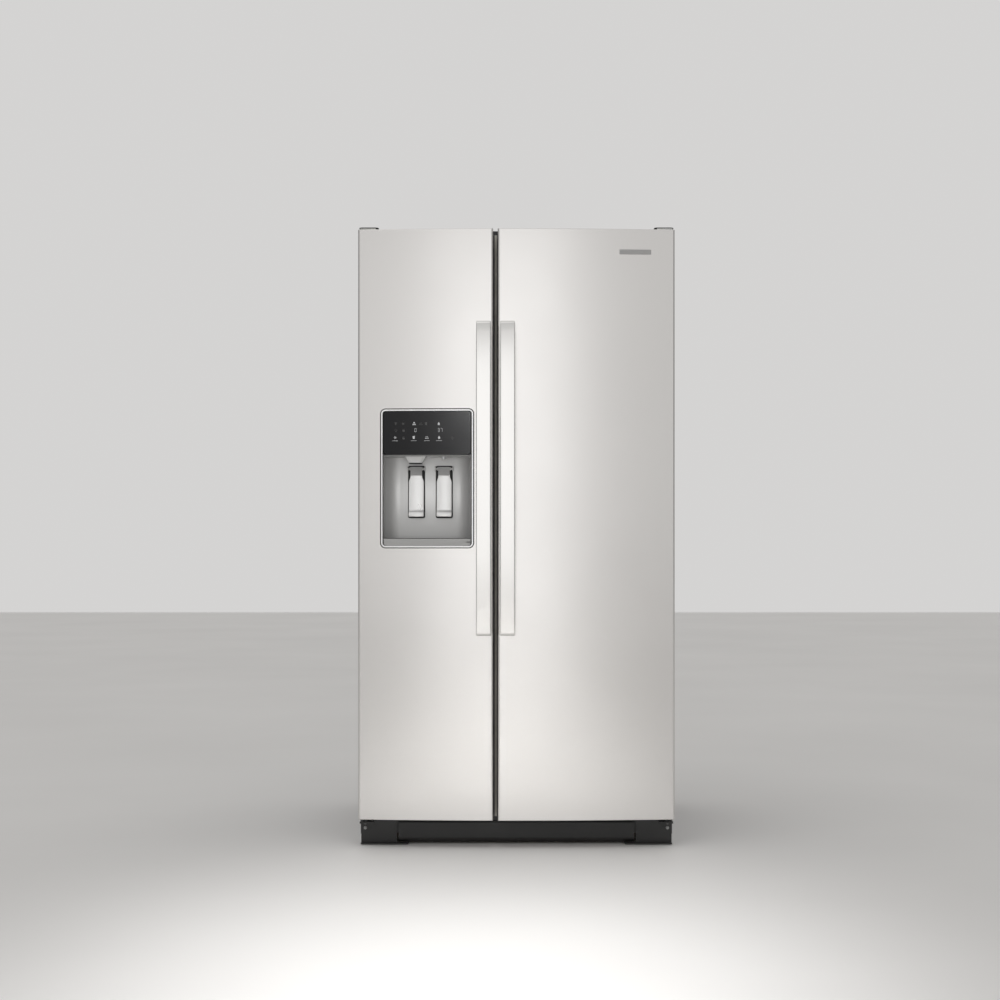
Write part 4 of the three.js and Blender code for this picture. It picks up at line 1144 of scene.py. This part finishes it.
def door_gasket(node):
    """Bellows between the inner door and the cabinet's front."""
    g = limits(node)
    low, high = g.y0, g.y1
    section = [(1, low), (0.1, low + 1), (1.6, low + 3), (0.4, low + 5.4), (0.1, high - 1.4)]
    section += [(1.2, high), (14.8, high), (15.9, high - 1.4), (15.6, low + 5.4)]
    section += [(14.4, low + 3), (15.9, low + 1), (15, low)]
    fine(node, frame_ring("y", *g.face, 5, section, 4))


HANDLE_THICKNESS = 13.0
HANDLE_FOOT = 24.0
HANDLE_BOW = 13.0
HANDLE_BEND = 9.0


def handle_profile(h, inset, end_inset, turn):
    """A handle's outline from the side: bowed towards the door at its ends, then turned into it."""
    half = (h.z1 - h.z0) / 2 - end_inset
    middle = h.z

    def front(t):
        return h.y0 + inset + HANDLE_BOW * abs(t) ** 3

    straight = 1 - turn / half
    bar = [(front(t), middle + t * half) for t in (straight * (i / 20 - 1) for i in range(41))]

    def corner(end):
        return [
            (y, middle + end * (half - turn + rise))
            for y, rise in ((front(1) + turn - turn * math.cos(a), turn * math.sin(a))
                            for a in (math.pi / 2 * i / 7 for i in range(1, 8)))
        ]

    back = DOOR_FRONT + 8
    return [*bar, *corner(1), (back, middle + half), (back, middle - half), *corner(-1)[::-1]]


def handle(node):
    """A flat bar on turned ends, with small radii along its edges."""
    h = limits(node)
    outside = prism("x", handle_profile(h, 0, 0, HANDLE_BEND), h.x0, h.x1)
    finger_gap = prism("x", handle_profile(h, HANDLE_THICKNESS, HANDLE_FOOT, 3), h.x0 - 5, h.x1 + 5)
    door = DOOR_FRONT + max(sag(h.x0), sag(h.x1)) + 0.15
    behind = box(h.x0 - 5, h.x1 + 5, door, 0, 0, 2000)
    fine(node, cut(outside, finger_gap, behind), edge=2.2, segments=4)
    head = [(2.6, h.x1 - 0.6), (2.6, h.x1 + 0.12), (1.6, h.x1 + 0.12), (1.6, h.x1 - 0.6)]
    fixings = [lathe("x", (DOOR_FRONT - 20, z), head, 20) for z in (h.z0 + 12, h.z1 - 12)]
    extra(f"{node}_grub_screws", fixings, "zinc", node)


def nameplate():
    """A blank plate on the fridge door."""
    place = (292, 382, 1682, 1696)
    flat = slab("y", *place, DOOR_FRONT + 0.2, DOOR_FRONT - 1.3, 1.5, 0.5)
    extra("nameplate", bend(flat, 9), "lever_silver", "fridge_door_skin", look="tray_silver")


def door_bin(node):
    """A clear bin with a white bar round its mouth."""
    b = limits(node)
    shape = tub(*b, wall=2.6, corner=14, draft=2, foot=9)
    low_back = box(b.x0 - 5, b.x1 + 5, b.y0 - 5, b.y0 + 13, b.z0 + (b.z1 - b.z0) * 0.6, b.z1 + 5)
    fine(node, cut(shape, low_back))
    z = b.z1 - 3
    radius = 10
    inset = 2.2
    corners = arc((b.x0 + inset + radius, b.y1 - inset - radius), radius, 180, 90, 6)
    corners += arc((b.x1 - inset - radius, b.y1 - inset - radius), radius, 90, 0, 6)
    path = [(b.x0 + inset, b.y0 + 14), *corners, (b.x1 - inset, b.y0 + 14)]
    extra(f"{node}_bar", tube([(x, y, z) for x, y in path], 2.9, 12), "liner_white", node)


# ---- dispenser

BEZEL = limits("dispenser_housing").face
BEZEL_CORNER = 16.0
RECESS_INSET = 9.0
RECESS_BOTTOM = 856.0
RECESS_BACK = -284.0
RECESS_CURVE = 45.0
LEFT_WALL = BEZEL[0] + RECESS_INSET
RIGHT_WALL = BEZEL[1] - RECESS_INSET - 0.5
CEILING_Z = PANEL.z0 - 4.3
POCKET = (937.2, 1085.6, 23.4, 6.0)  # bottom, top, half width, depth
ICE_X = limits("ice_lever").x
WATER_X = limits("water_lever").x
CHUTE_Y = -325.0
LEVER_AXIS_Y = -292.0


def recess_outline(grow=0.0, front=1.5):
    """The cup space's plan: straight sides that turn into the back wall in wide curves."""
    left, right, back = LEFT_WALL - grow, RIGHT_WALL + grow, RECESS_BACK + grow
    radius = RECESS_CURVE + grow
    points = [(left, DOOR_FRONT + sag(left) + front)]
    points += arc((left + radius, back - radius), radius, 180, 90, 16)
    points += arc((right - radius, back - radius), radius, 90, 0, 16)
    points.append((right, DOOR_FRONT + sag(right) + front))
    return points


def dispenser_housing():
    """Bezel, curved liner, ceiling and floor of the dispenser."""
    shell = prism("z", recess_outline() + recess_outline(3.0)[::-1], RECESS_BOTTOM - 3, PANEL.z0)
    bottom, top, half = POCKET[:3]
    holes = [
        prism("y", rounded(x - half, x + half, bottom, top, 4), RECESS_BACK - 6, RECESS_BACK + 4)
        for x in (ICE_X, WATER_X)
    ]
    shell = cut(shell, merged(holes))
    floor = prism("z", recess_outline(1.0), RECESS_BOTTOM - 3, RECESS_BOTTOM)
    fine("dispenser_housing", [shell, floor], edge=0.5)
    mouth = rounded(ICE_X - 33, ICE_X + 33, CHUTE_Y - 25, CHUTE_Y + 25, 5)
    ceiling = cut(
        prism("z", recess_outline(1.0, 11.0), CEILING_Z, CEILING_Z + 4),
        prism("z", mouth, CEILING_Z - 5, CEILING_Z + 9),
    )
    node = "dispenser_housing"
    extra("dispenser_ceiling", ceiling, "dispenser_silver", node, look="collar_grey")
    f = DOOR_FRONT
    ring_section = [(2.9, f + 6), (2.9, f - 1.5), (3.1, f - 2.0), (3.6, f - 2.2)]
    ring_section += [(6.7, f - 2.2), (7.2, f - 2.0), (7.4, f - 1.5), (7.4, f + 6)]
    bright = frame_ring("y", *BEZEL, BEZEL_CORNER, ring_section, 10)
    extra("dispenser_bezel", bend(bright), "lever_silver", node, look="bezel_silver")
    # Two near-black rings, outside and inside the bright ring, are painted shade for the shadow
    # gaps round it.
    shadow_rings = []
    for a, b, depth in ((0.35, 3.1, 0.8), (7.3, 9.2, 1.1)):
        section = [(a, f + 5), (a, f + depth), (b, f + depth), (b, f + 5)]
        shadow_rings.append(bend(frame_ring("y", *BEZEL, BEZEL_CORNER, section, 10)))
    extra("dispenser_seals", shadow_rings, "machine_cover_black", node, look="seal_black")


def lever_pockets():
    """Pockets behind the levers, black as painted shade, with the lugs that carry their pins."""
    bottom, top, half, depth = POCKET
    back = RECESS_BACK
    made = []
    end = back + depth
    walls = [(0.3, back - 0.5), (0.3, end + 0.3), (-1.5, end + 0.3)]
    walls += [(-1.5, back + 0.2), (-0.9, back - 0.5)]
    for x in (ICE_X, WATER_X):
        made.append(frame_ring("y", x - half, x + half, bottom, top, 4, walls, 4))
        wide = (x - half - 1, x + half + 1, bottom - 1, top + 1)
        made.append(slab("y", *wide, end + 2, end, 4, 0.2))
    # The pockets' black plastic is painted shade for the gaps round the levers.
    extra("lever_pockets", made, "black_plastic", "dispenser_housing")
    lugs = [
        slab("x", -297, back + 2, 1071, 1085, *sorted((x + side * 23.5, x + side * 26)), 5, 0.4)
        for x in (ICE_X, WATER_X) for side in (-1, 1)
    ]
    extra("lever_lugs", lugs, "dispenser_silver", "dispenser_housing")


def control_panel():
    flat = slab("y", *PANEL.face, DOOR_FRONT + 9, DOOR_FRONT + 0.5, 9.5, 0.8)
    fine("control_panel", bend(flat))


# Printed signs, each a list of thin shapes around a centre given in millimetres on the panel.
INK = (DOOR_FRONT + 0.8, DOOR_FRONT + 0.35)


def ink(outline):
    return prism("y", outline, *INK)


def bar(x, z, width, height):
    a, b = width / 2, height / 2
    return ink(rounded(x - a, x + a, z - b, z + b, min(a, b) * 0.6, 3))


def loop_sign(x, z, radius, thick=0.7):
    section = [(0, INK[0]), (0, INK[1]), (thick, INK[1]), (thick, INK[0])]
    return frame_ring("y", x - radius, x + radius, z - radius, z + radius, radius, section, 6)


def drop_sign(x, z):
    tip = [(x, z + 5)]
    return [ink(arc((x, z - 1), 3.2, 150, 390, 12) + tip)]


def cube_sign(x, z):
    return [bar(x - 2.6, z - 2, 4, 4), bar(x + 2.6, z - 2, 4, 4), bar(x, z + 3, 4, 4)]


def crushed_sign(x, z):
    return [
        ink([(x + dx - 1.7, z + dz - 1.4), (x + dx + 1.7, z + dz - 1.4), (x + dx, z + dz + 1.7)])
        for dx, dz in ((-3.6, -2), (0, -2), (3.6, -2), (-1.8, 2.2), (1.8, 2.2))
    ]


def lamp_sign(x, z):
    rays = [(math.cos(a), math.sin(a)) for a in (math.pi * i / 4 for i in range(5))]
    return [loop_sign(x, z - 1, 2.6), bar(x, z - 4.6, 2.6, 1)] + [
        ink(circle((x + 4.6 * c, z - 1 + 4.6 * s), 0.6, 8)) for c, s in rays
    ]


def lock_sign(x, z):
    return [bar(x, z - 1.8, 6.4, 4.8), loop_sign(x, z + 1.6, 2.2)]


def frost_sign(x, z):
    made = []
    for turn in range(3):
        a = math.pi * turn / 3
        dx, dz = math.cos(a), math.sin(a)
        corners = ((-4.4, -0.45), (4.4, -0.45), (4.4, 0.45), (-4.4, 0.45))
        made.append(ink([(x + a * dx - b * dz, z + a * dz + b * dx) for a, b in corners]))
    return made


def filter_sign(x, z):
    return [bar(x, z + dz, width, 1.1) for dz, width in ((3.4, 8), (1.2, 6), (-1, 4), (-3.2, 2))]


def cup_sign(x, z):
    return [ink([(x - 3.4, z + 4), (x - 2.2, z - 4), (x + 2.2, z - 4), (x + 3.4, z + 4)])]


# The seven bars of a digit, as (x, z, upright) in units of a half height, and those that are lit.
DIGIT_BARS = {
    "a": (0, 2, False), "b": (1, 1, True), "c": (1, -1, True), "d": (0, -2, False),
    "e": (-1, -1, True), "f": (-1, 1, True), "g": (0, 0, False),
}
LIT = {"0": "abcdef", "3": "abcdg", "7": "abc"}


def digit(x, z, value, half=2.4, thick=0.95):
    made = []
    for name in LIT[value]:
        across, up, upright = DIGIT_BARS[name]
        size = (thick, half * 1.7) if upright else (half * 1.7, thick)
        made.append(bar(x + across * half, z + up * half, *size))
    return made


def panel_signs():
    """Generic signs, three digits and the bars under the keys."""
    x = PANEL.x0
    z = PANEL.z1
    lit = [*cube_sign(x + 88, z - 36), *drop_sign(x + 158, z - 36)]
    for across, value in ((92, "0"), (157.5, "3"), (165.5, "7")):
        lit += digit(x + across, z - 54, value)
    for sign, across in ((frost_sign, 34), (cup_sign, 87), (crushed_sign, 124), (drop_sign, 159)):
        lit += sign(x + across, z - 75)
        lit.append(bar(x + across, z - 84, 16, 0.9))
    slot, node = "liner_white", "control_panel"
    extra("panel_signs", bend(merged(lit)), slot, node, look="print_white")
    dim = [*lock_sign(x + 58, z - 76), *lamp_sign(x + 197, z - 76)]
    for sign, across, down in (
        (filter_sign, 36, 36), (frost_sign, 57, 36), (crushed_sign, 107, 36), (cup_sign, 122, 36),
        (lamp_sign, 36, 54), (lock_sign, 58, 54),
    ):
        dim += sign(x + across, z - down)
    extra("panel_signs_dim", bend(merged(dim)), slot, node, look="print_grey")


def ice_chute():
    """A funnel and shaft between rounded rectangles."""
    c = limits("ice_chute")
    wall = 2.5
    sections = [(CHUTE_Y, c.z0, 19.5, 17), (CHUTE_Y, PANEL.z0 - 0.8, 32, 24), (-292, c.z1, 32, 17)]

    def at(section, grow, corner):
        y, z, w, d = section
        w, d = w + grow, d + grow
        return ring("z", rounded(ICE_X - w, ICE_X + w, y - d, y + d, corner), z)

    outside = [at(s, 0, 10) for s in sections]
    inside = [at(s, -wall, 7.5) for s in reversed(sections)]
    fine("ice_chute", loft(outside + inside, loop=True), edge=0.5)
    high, low = c.z0 + 1, c.z0 - 2.6
    lip = [
        at((CHUTE_Y, z, 18.6, 16.1), grow, corner)
        for z, grow, corner in ((high, 0, 9), (low, 0, 9), (low, -2, 7), (high, -2, 7))
    ]
    extra("ice_chute_lip", loft(lip, loop=True), "black_plastic", "ice_chute", edge=0.3)
    kept("chute_flap", 0.4)


def nozzle():
    tip = [(3.2, -7), (4.6, -6.4), (5.2, -3), (7.5, -2), (7.5, 2)]
    spout = lathe("z", (WATER_X, CHUTE_Y), [(r, CEILING_Z + z) for r, z in tip], 32)
    extra("water_nozzle", spout, "aluminium", "dispenser_housing")


def lever(node):
    """A push lever: pin, barrel, narrow neck and a wide paddle with a lip at its foot."""
    v = limits(node)
    x = v.x
    y, z = LEVER_AXIS_Y, v.z1 - 5
    side = [(-3, 4.5), (3, 4.5), (3.4, 0), (1.5, -34), (-6.6, -131), (-8, -136), (-12, -138.4)]
    side += [(-16.6, -138), (-18, -134), (-17.6, -129), (-15, -124.5), (-10.5, -120.5)]
    side += [(-8.6, -116), (-4.6, -34)]
    profile = prism("x", [(y + a, z + b) for a, b in side], x - 30, x + 30)
    half = [(15.8, 5), (16.6, -18), (17.6, -26), (20.6, -33), (21.7, -38)]
    half += [(21.7, -135), (20, -139)]
    outline = [(x + a, z + b) for a, b in half] + [(x - a, z + b) for a, b in reversed(half)]
    paddle = combine(profile, prism("y", outline, y - 40, y + 40), "INTERSECT")
    paddle = sliced(paddle, 3.6, lambda point: 1.8 * ((point.x - x) / 21.7) ** 2)
    fine(node, paddle, edge=1.1, segments=3)
    pin = lathe("x", (y, z), [(2.1, v.x0), (2.5, v.x0 + 0.5), (2.5, v.x1 - 0.5), (2.1, v.x1)], 20)
    barrel = lathe("x", (y, z), [(4.6, x - 20), (5, x - 19), (5, x + 19), (4.6, x + 20)], 28)
    extra(f"{node}_pin", [pin, barrel], "dispenser_silver", node)
    collar = [slab("y", x - 16.8, x + 16.8, z - 19.5, z + 5.6, y + 1, y - 6.4, 2, 1)]
    collar += [
        slab("y", x - 14, x + 14, z - drop - 1, z - drop + 1, y - 6, y - 7, 0.8, 0.3)
        for drop in (1, 5, 9, 13)
    ]
    extra(f"{node}_collar", collar, "dispenser_silver", node, look="collar_grey")


def drip_tray():
    t = limits("drip_tray")
    f = DOOR_FRONT
    plate = slab("y", *t.face, f + 5, f + 1, 8.5, 1.2)
    notches = ((t.x0 - 5, t.x0 + 12), (t.x1 - 12, t.x1 + 5))
    plate = cut(plate, *[box(*x, f - 5, f + 9, t.z1 - 9, t.z1 + 5) for x in notches])
    square = [
        slab("y", a, b, t.z1 - 14, t.z1, f + 5, f + 1, 1, 0.8)
        for a, b in ((t.x0, t.x0 + 13), (t.x1 - 13, t.x1))
    ]
    lip = bend(merged([plate, *square]))
    front = f + 20

    def plan(inset, ends):
        left, right = t.x0 + 1 + inset, t.x1 - 1 - inset
        return [
            (left + 21, t.y1 - ends), (left, -329), (left, front - 4 + ends),
            (t.x1 - 14, front - 16 + ends), (right, front - 17 + ends), (right, -329),
            (right - 21, t.y1 - ends),
        ]

    pan = cut(prism("z", plan(0, 0), t.z0, t.z0 + 12), prism("z", plan(3, 3), t.z0 + 3, t.z0 + 20))
    fine("drip_tray", [lip, pan], edge=0.4, look="tray_silver")
    bars = [box(t.x0, t.x1, y, y + 2.4, t.z0 + 9, t.z0 + 12.5) for y in range(-366, -308, 6)]
    ties = [box(x, x + 2, -380, -300, t.z0 + 8, t.z0 + 11) for x in range(-350, -140, 40)]
    # A near-black strip along the top of the tray's lip is painted shade for the dark line between
    # the recess and the lip.
    edge = bend(slab("y", t.x0 + 0.2, t.x1 - 0.2, t.z1 - 1.5, t.z1 + 0.2, f + 5, f + 0.8, 0.6, 0.3))
    extra("drip_tray_edge", edge, "machine_cover_black", "drip_tray")
    inside = prism("z", plan(3.4, 3.4), t.z0, t.z0 + 20)
    grille = [combine(merged(rods), inside, "INTERSECT") for rods in (bars, ties)]
    extra("drip_tray_grille", grille, "machine_cover_black", "drip_tray", edge=0.4)


# ---- freezer door

def ice_bin():
    b = limits("ice_bin")
    shape = tub(*b, wall=3, corner=20, draft=2, foot=10)
    outlet = box(ICE_X - 30, ICE_X + 30, b.y0 + 2.5, b.y0 + 40, b.z0 - 5, b.z0 + 4.2)
    fine("ice_bin", cut(shape, outlet))
    grip = slab("y", b.x0 + 40, b.x1 - 40, b.z1 - 46, b.z1 - 20, b.y1 - 1, b.y1 + 0.1, 8, 0.3)
    section = [(-0.1, b.z1 - 9), (-0.1, b.z1 - 0.2), (1, b.z1)]
    section += [(3, b.z1), (3.4, b.z1 - 1), (3.4, b.z1 - 9)]
    rim = frame_ring("z", b.x0, b.x1, b.y0, b.y1, 20, section)
    extra("ice_bin_rim", [rim, grip], "liner_white", "ice_bin", edge=0.2, segments=1)
    kept("ice_auger", 0.8)


def freezer_door():
    bezel_window = rounded(BEZEL[0] + 0.3, BEZEL[1] - 0.3, BEZEL[2] + 0.3, BEZEL[3] - 0.3, 15.7, 8)
    door_skin("freezer_door_skin", bezel_window)
    bottom, top, back = BULGE
    area = DYKE["freezer"]
    bulge = slab("y", area[0] + 8, area[1] - 8, bottom, top, DOOR_BACK - 1, back, 14, 7, 6)
    sides, heights = (BEZEL[0] + 4.7, BEZEL[1] - 5.2), (BEZEL[2] + 3.2, BEZEL[3] - 3.7)
    pocket = box(*sides, DOOR_FRONT - 30, -275.7, *heights)
    drop = box(ICE_X - 34, ICE_X + 34, -308, -267, 1200, 1257)
    door_inner("freezer_door_inner", "freezer_door_skin", area, pocket, drop, pads=(bulge,))
    bin_rests("freezer_bin_rests", "freezer_door_inner", area, (500, 160))
    door_gasket("freezer_door_gasket")
    handle("freezer_door_handle")
    dispenser_housing()
    lever_pockets()
    control_panel()
    panel_signs()
    ice_chute()
    nozzle()
    lever("ice_lever")
    lever("water_lever")
    drip_tray()
    ice_bin()
    door_bin("freezer_bin_upper")
    door_bin("freezer_bin_lower")


# ---- fresh-food door

def dairy():
    """The trough on the inner door, and its flip-up cover."""
    left, right = DYKE["fridge"][:2]
    c = limits("dairy_cover")
    front = -206
    left, right = left + DYKE_WALL - 1, right - DYKE_WALL + 1
    bottom, top = 1340, 1465
    outer = box(left, right, DOOR_BACK - 8, front, bottom, top)
    inner = (left + 4, right - 4)
    hollow = box(*inner, DOOR_BACK + 0.4, front - 3, bottom + 3, top + 5)
    mouth = box(*inner, front - 4, front + 5, bottom + 32, top + 5)
    trough = cut(outer, hollow, mouth)
    extra("dairy_trough", trough, "door_liner", "fridge_door_inner", edge=1.2, segments=3)
    outside = [(c.y0 + 2, c.z1 - 3.4), *arc((c.y1 - 9, c.z1 - 12.5), 9, 90, 0, 8), (c.y1, c.z0)]
    inside = [(c.y1 - 3, c.z0), *arc((c.y1 - 9, c.z1 - 12.5), 6, 0, 90, 8), (c.y0 + 2, c.z1 - 6.4)]
    lid = prism("x", outside + inside, c.x0, c.x1)
    turned = [(3, c.x0), (3.5, c.x0 + 0.6), (3.5, c.x1 - 0.6), (3, c.x1)]
    barrel = lathe("x", (c.y0 + 3.5, c.z1 - 3.5), turned, 24)
    fine("dairy_cover", [lid, barrel], edge=0.5)
    strip = slab("y", c.x0 + 60, c.x1 - 60, c.z0 + 2, c.z0 + 12, c.y1 - 1, c.y1 + 0.6, 3, 0.5)
    extra("dairy_cover_grip", strip, "liner_white", "dairy_cover")


def fridge_door():
    door_skin("fridge_door_skin")
    door_inner("fridge_door_inner", "fridge_door_skin", DYKE["fridge"])
    bin_rests("fridge_bin_rests", "fridge_door_inner", DYKE["fridge"], (960, 570, 165))
    door_gasket("fridge_door_gasket")
    handle("fridge_door_handle")
    nameplate()
    dairy()
    for word in ("upper", "middle", "lower"):
        door_bin(f"fridge_bin_{word}")


# ---- the refrigerator

def refrigerator():
    cabinet_wrapper()
    mullion_strip()
    kept("cabinet_foam", 0.0)
    liner("freezer_liner", FREEZER)
    liner("fresh_food_liner", FRIDGE)
    ledges()
    light_covers()
    filter_saddles()
    evaporator_cover()
    back()
    shelves()
    drawers()
    water_filter()
    icemaker()
    kept("base_frame", 0.6)
    base_grille()
    hinges()
    rollers_and_legs()
    compressor()
    base = limits("condenser_coil").z0
    finned_coil("condenser_coil", 4.5, [base + 15 + 24 * i for i in range(6)], 4.6)
    base = limits("evaporator_coil").z0
    finned_coil("evaporator_coil", 7.0, [base + 30 + 48 * i for i in range(6)], 4.4)
    fan("condenser_fan", "x", 5)
    fan("evaporator_fan", "y", 7)
    freezer_door()
    fridge_door()


# ---- floor, lights and camera

def floor():
    mesh = bpy.data.meshes.new("floor")
    reach = 14.0
    corners = [(-reach, -reach, 0), (reach, -reach, 0), (reach, reach, 0), (-reach, reach, 0)]
    mesh.from_pydata(corners, [], [(0, 1, 2, 3)])
    material = shader_material("floor", (0.78, 0.77, 0.755), 0.6)
    tint(material, noise(material, 0.8), (0.76, 0.75, 0.735), (0.8, 0.79, 0.775))
    mesh.materials.append(material)
    obj = bpy.data.objects.new("floor", mesh)
    bpy.context.scene.collection.objects.link(obj)


def soft_light(name, place, target, size, power, spread=180):
    light = bpy.data.lights.new(name, "AREA")
    light.shape = "RECTANGLE"
    light.size, light.size_y = size
    light.energy = power
    light.spread = math.radians(spread)
    obj = bpy.data.objects.new(name, light)
    obj.location = place
    obj.rotation_euler = (Vector(target) - Vector(place)).to_track_quat("-Z", "Y").to_euler()
    bpy.context.scene.collection.objects.link(obj)
    return obj


def shine_only_on(light, name):
    """Leaves every piece but one out of a light."""
    lit = bpy.data.collections.new(f"{light.name}_receivers")
    lit.objects.link(bpy.data.objects[name])
    light.light_linking.receiver_collection = lit


def studio():
    """A pale room's worth of even light, a wide softbox ahead of the doors, two fills, a light
    for the floor, and a glow each for the panel and the recess."""
    world = bpy.data.worlds.new("studio")
    world.use_nodes = True
    background = world.node_tree.nodes["Background"]
    background.inputs["Color"].default_value = (1.0, 0.99, 0.98, 1)
    direction = add_node(world, "TexCoord")
    parts = add_node(world, "SeparateXYZ")
    sideways = add_node(world, "Math")
    sideways.operation = "ABSOLUTE"
    links = world.node_tree.links
    links.new(direction.outputs["Generated"], parts.inputs["Vector"])
    links.new(parts.outputs["X"], sideways.inputs[0])
    strength = spread(world, sideways.outputs[0], 0.66, 0.24, 0.5, 1.0)
    links.new(strength, background.inputs["Strength"])
    bpy.context.scene.world = world
    soft_light("front", (-0.2, -6.6, 1.5), (-0.2, 0, 1.0), (1.9, 3.2), 12.5)
    soft_light("front_left", (-2.0, -6.2, 1.7), (0, 0, 1.0), (1.4, 2.6), 1.2)
    soft_light("overhead", (-1.2, -1.5, 4.2), (0, 0, 0.9), (2.6, 2.6), 9)
    soft_light("floor_wash", (-0.1, -3.1, 3.2), (-0.1, -3.1, 0), (0.7, 4.2), 16.5, spread=40)
    glow = soft_light("panel_glow", (-0.25, -6.6, 2.3), (-0.15, 0, 1.5), (0.6, 0.8), 70)
    shine_only_on(glow, "control_panel_fine")
    x, z = -0.262, 1.013
    glow = soft_light("recess_glow", (x, -0.54, z), (x, 0, z), (0.15, 0.025), 0.072)
    shine_only_on(glow, "dispenser_housing_fine")
    bpy.context.scene.view_settings.view_transform = "Standard"


def camera():
    lens = bpy.data.cameras.new("camera")
    lens.sensor_width = 36
    lens.lens = 56.04
    lens.shift_x = -0.0164
    lens.shift_y = 0.040
    obj = bpy.data.objects.new("camera", lens)
    obj.location = (0, -4.7745, 0.873)
    obj.rotation_euler = (math.pi / 2, 0, 0)
    bpy.context.scene.collection.objects.link(obj)
    bpy.context.scene.camera = obj


camera()
floor()
refrigerator()
studio()
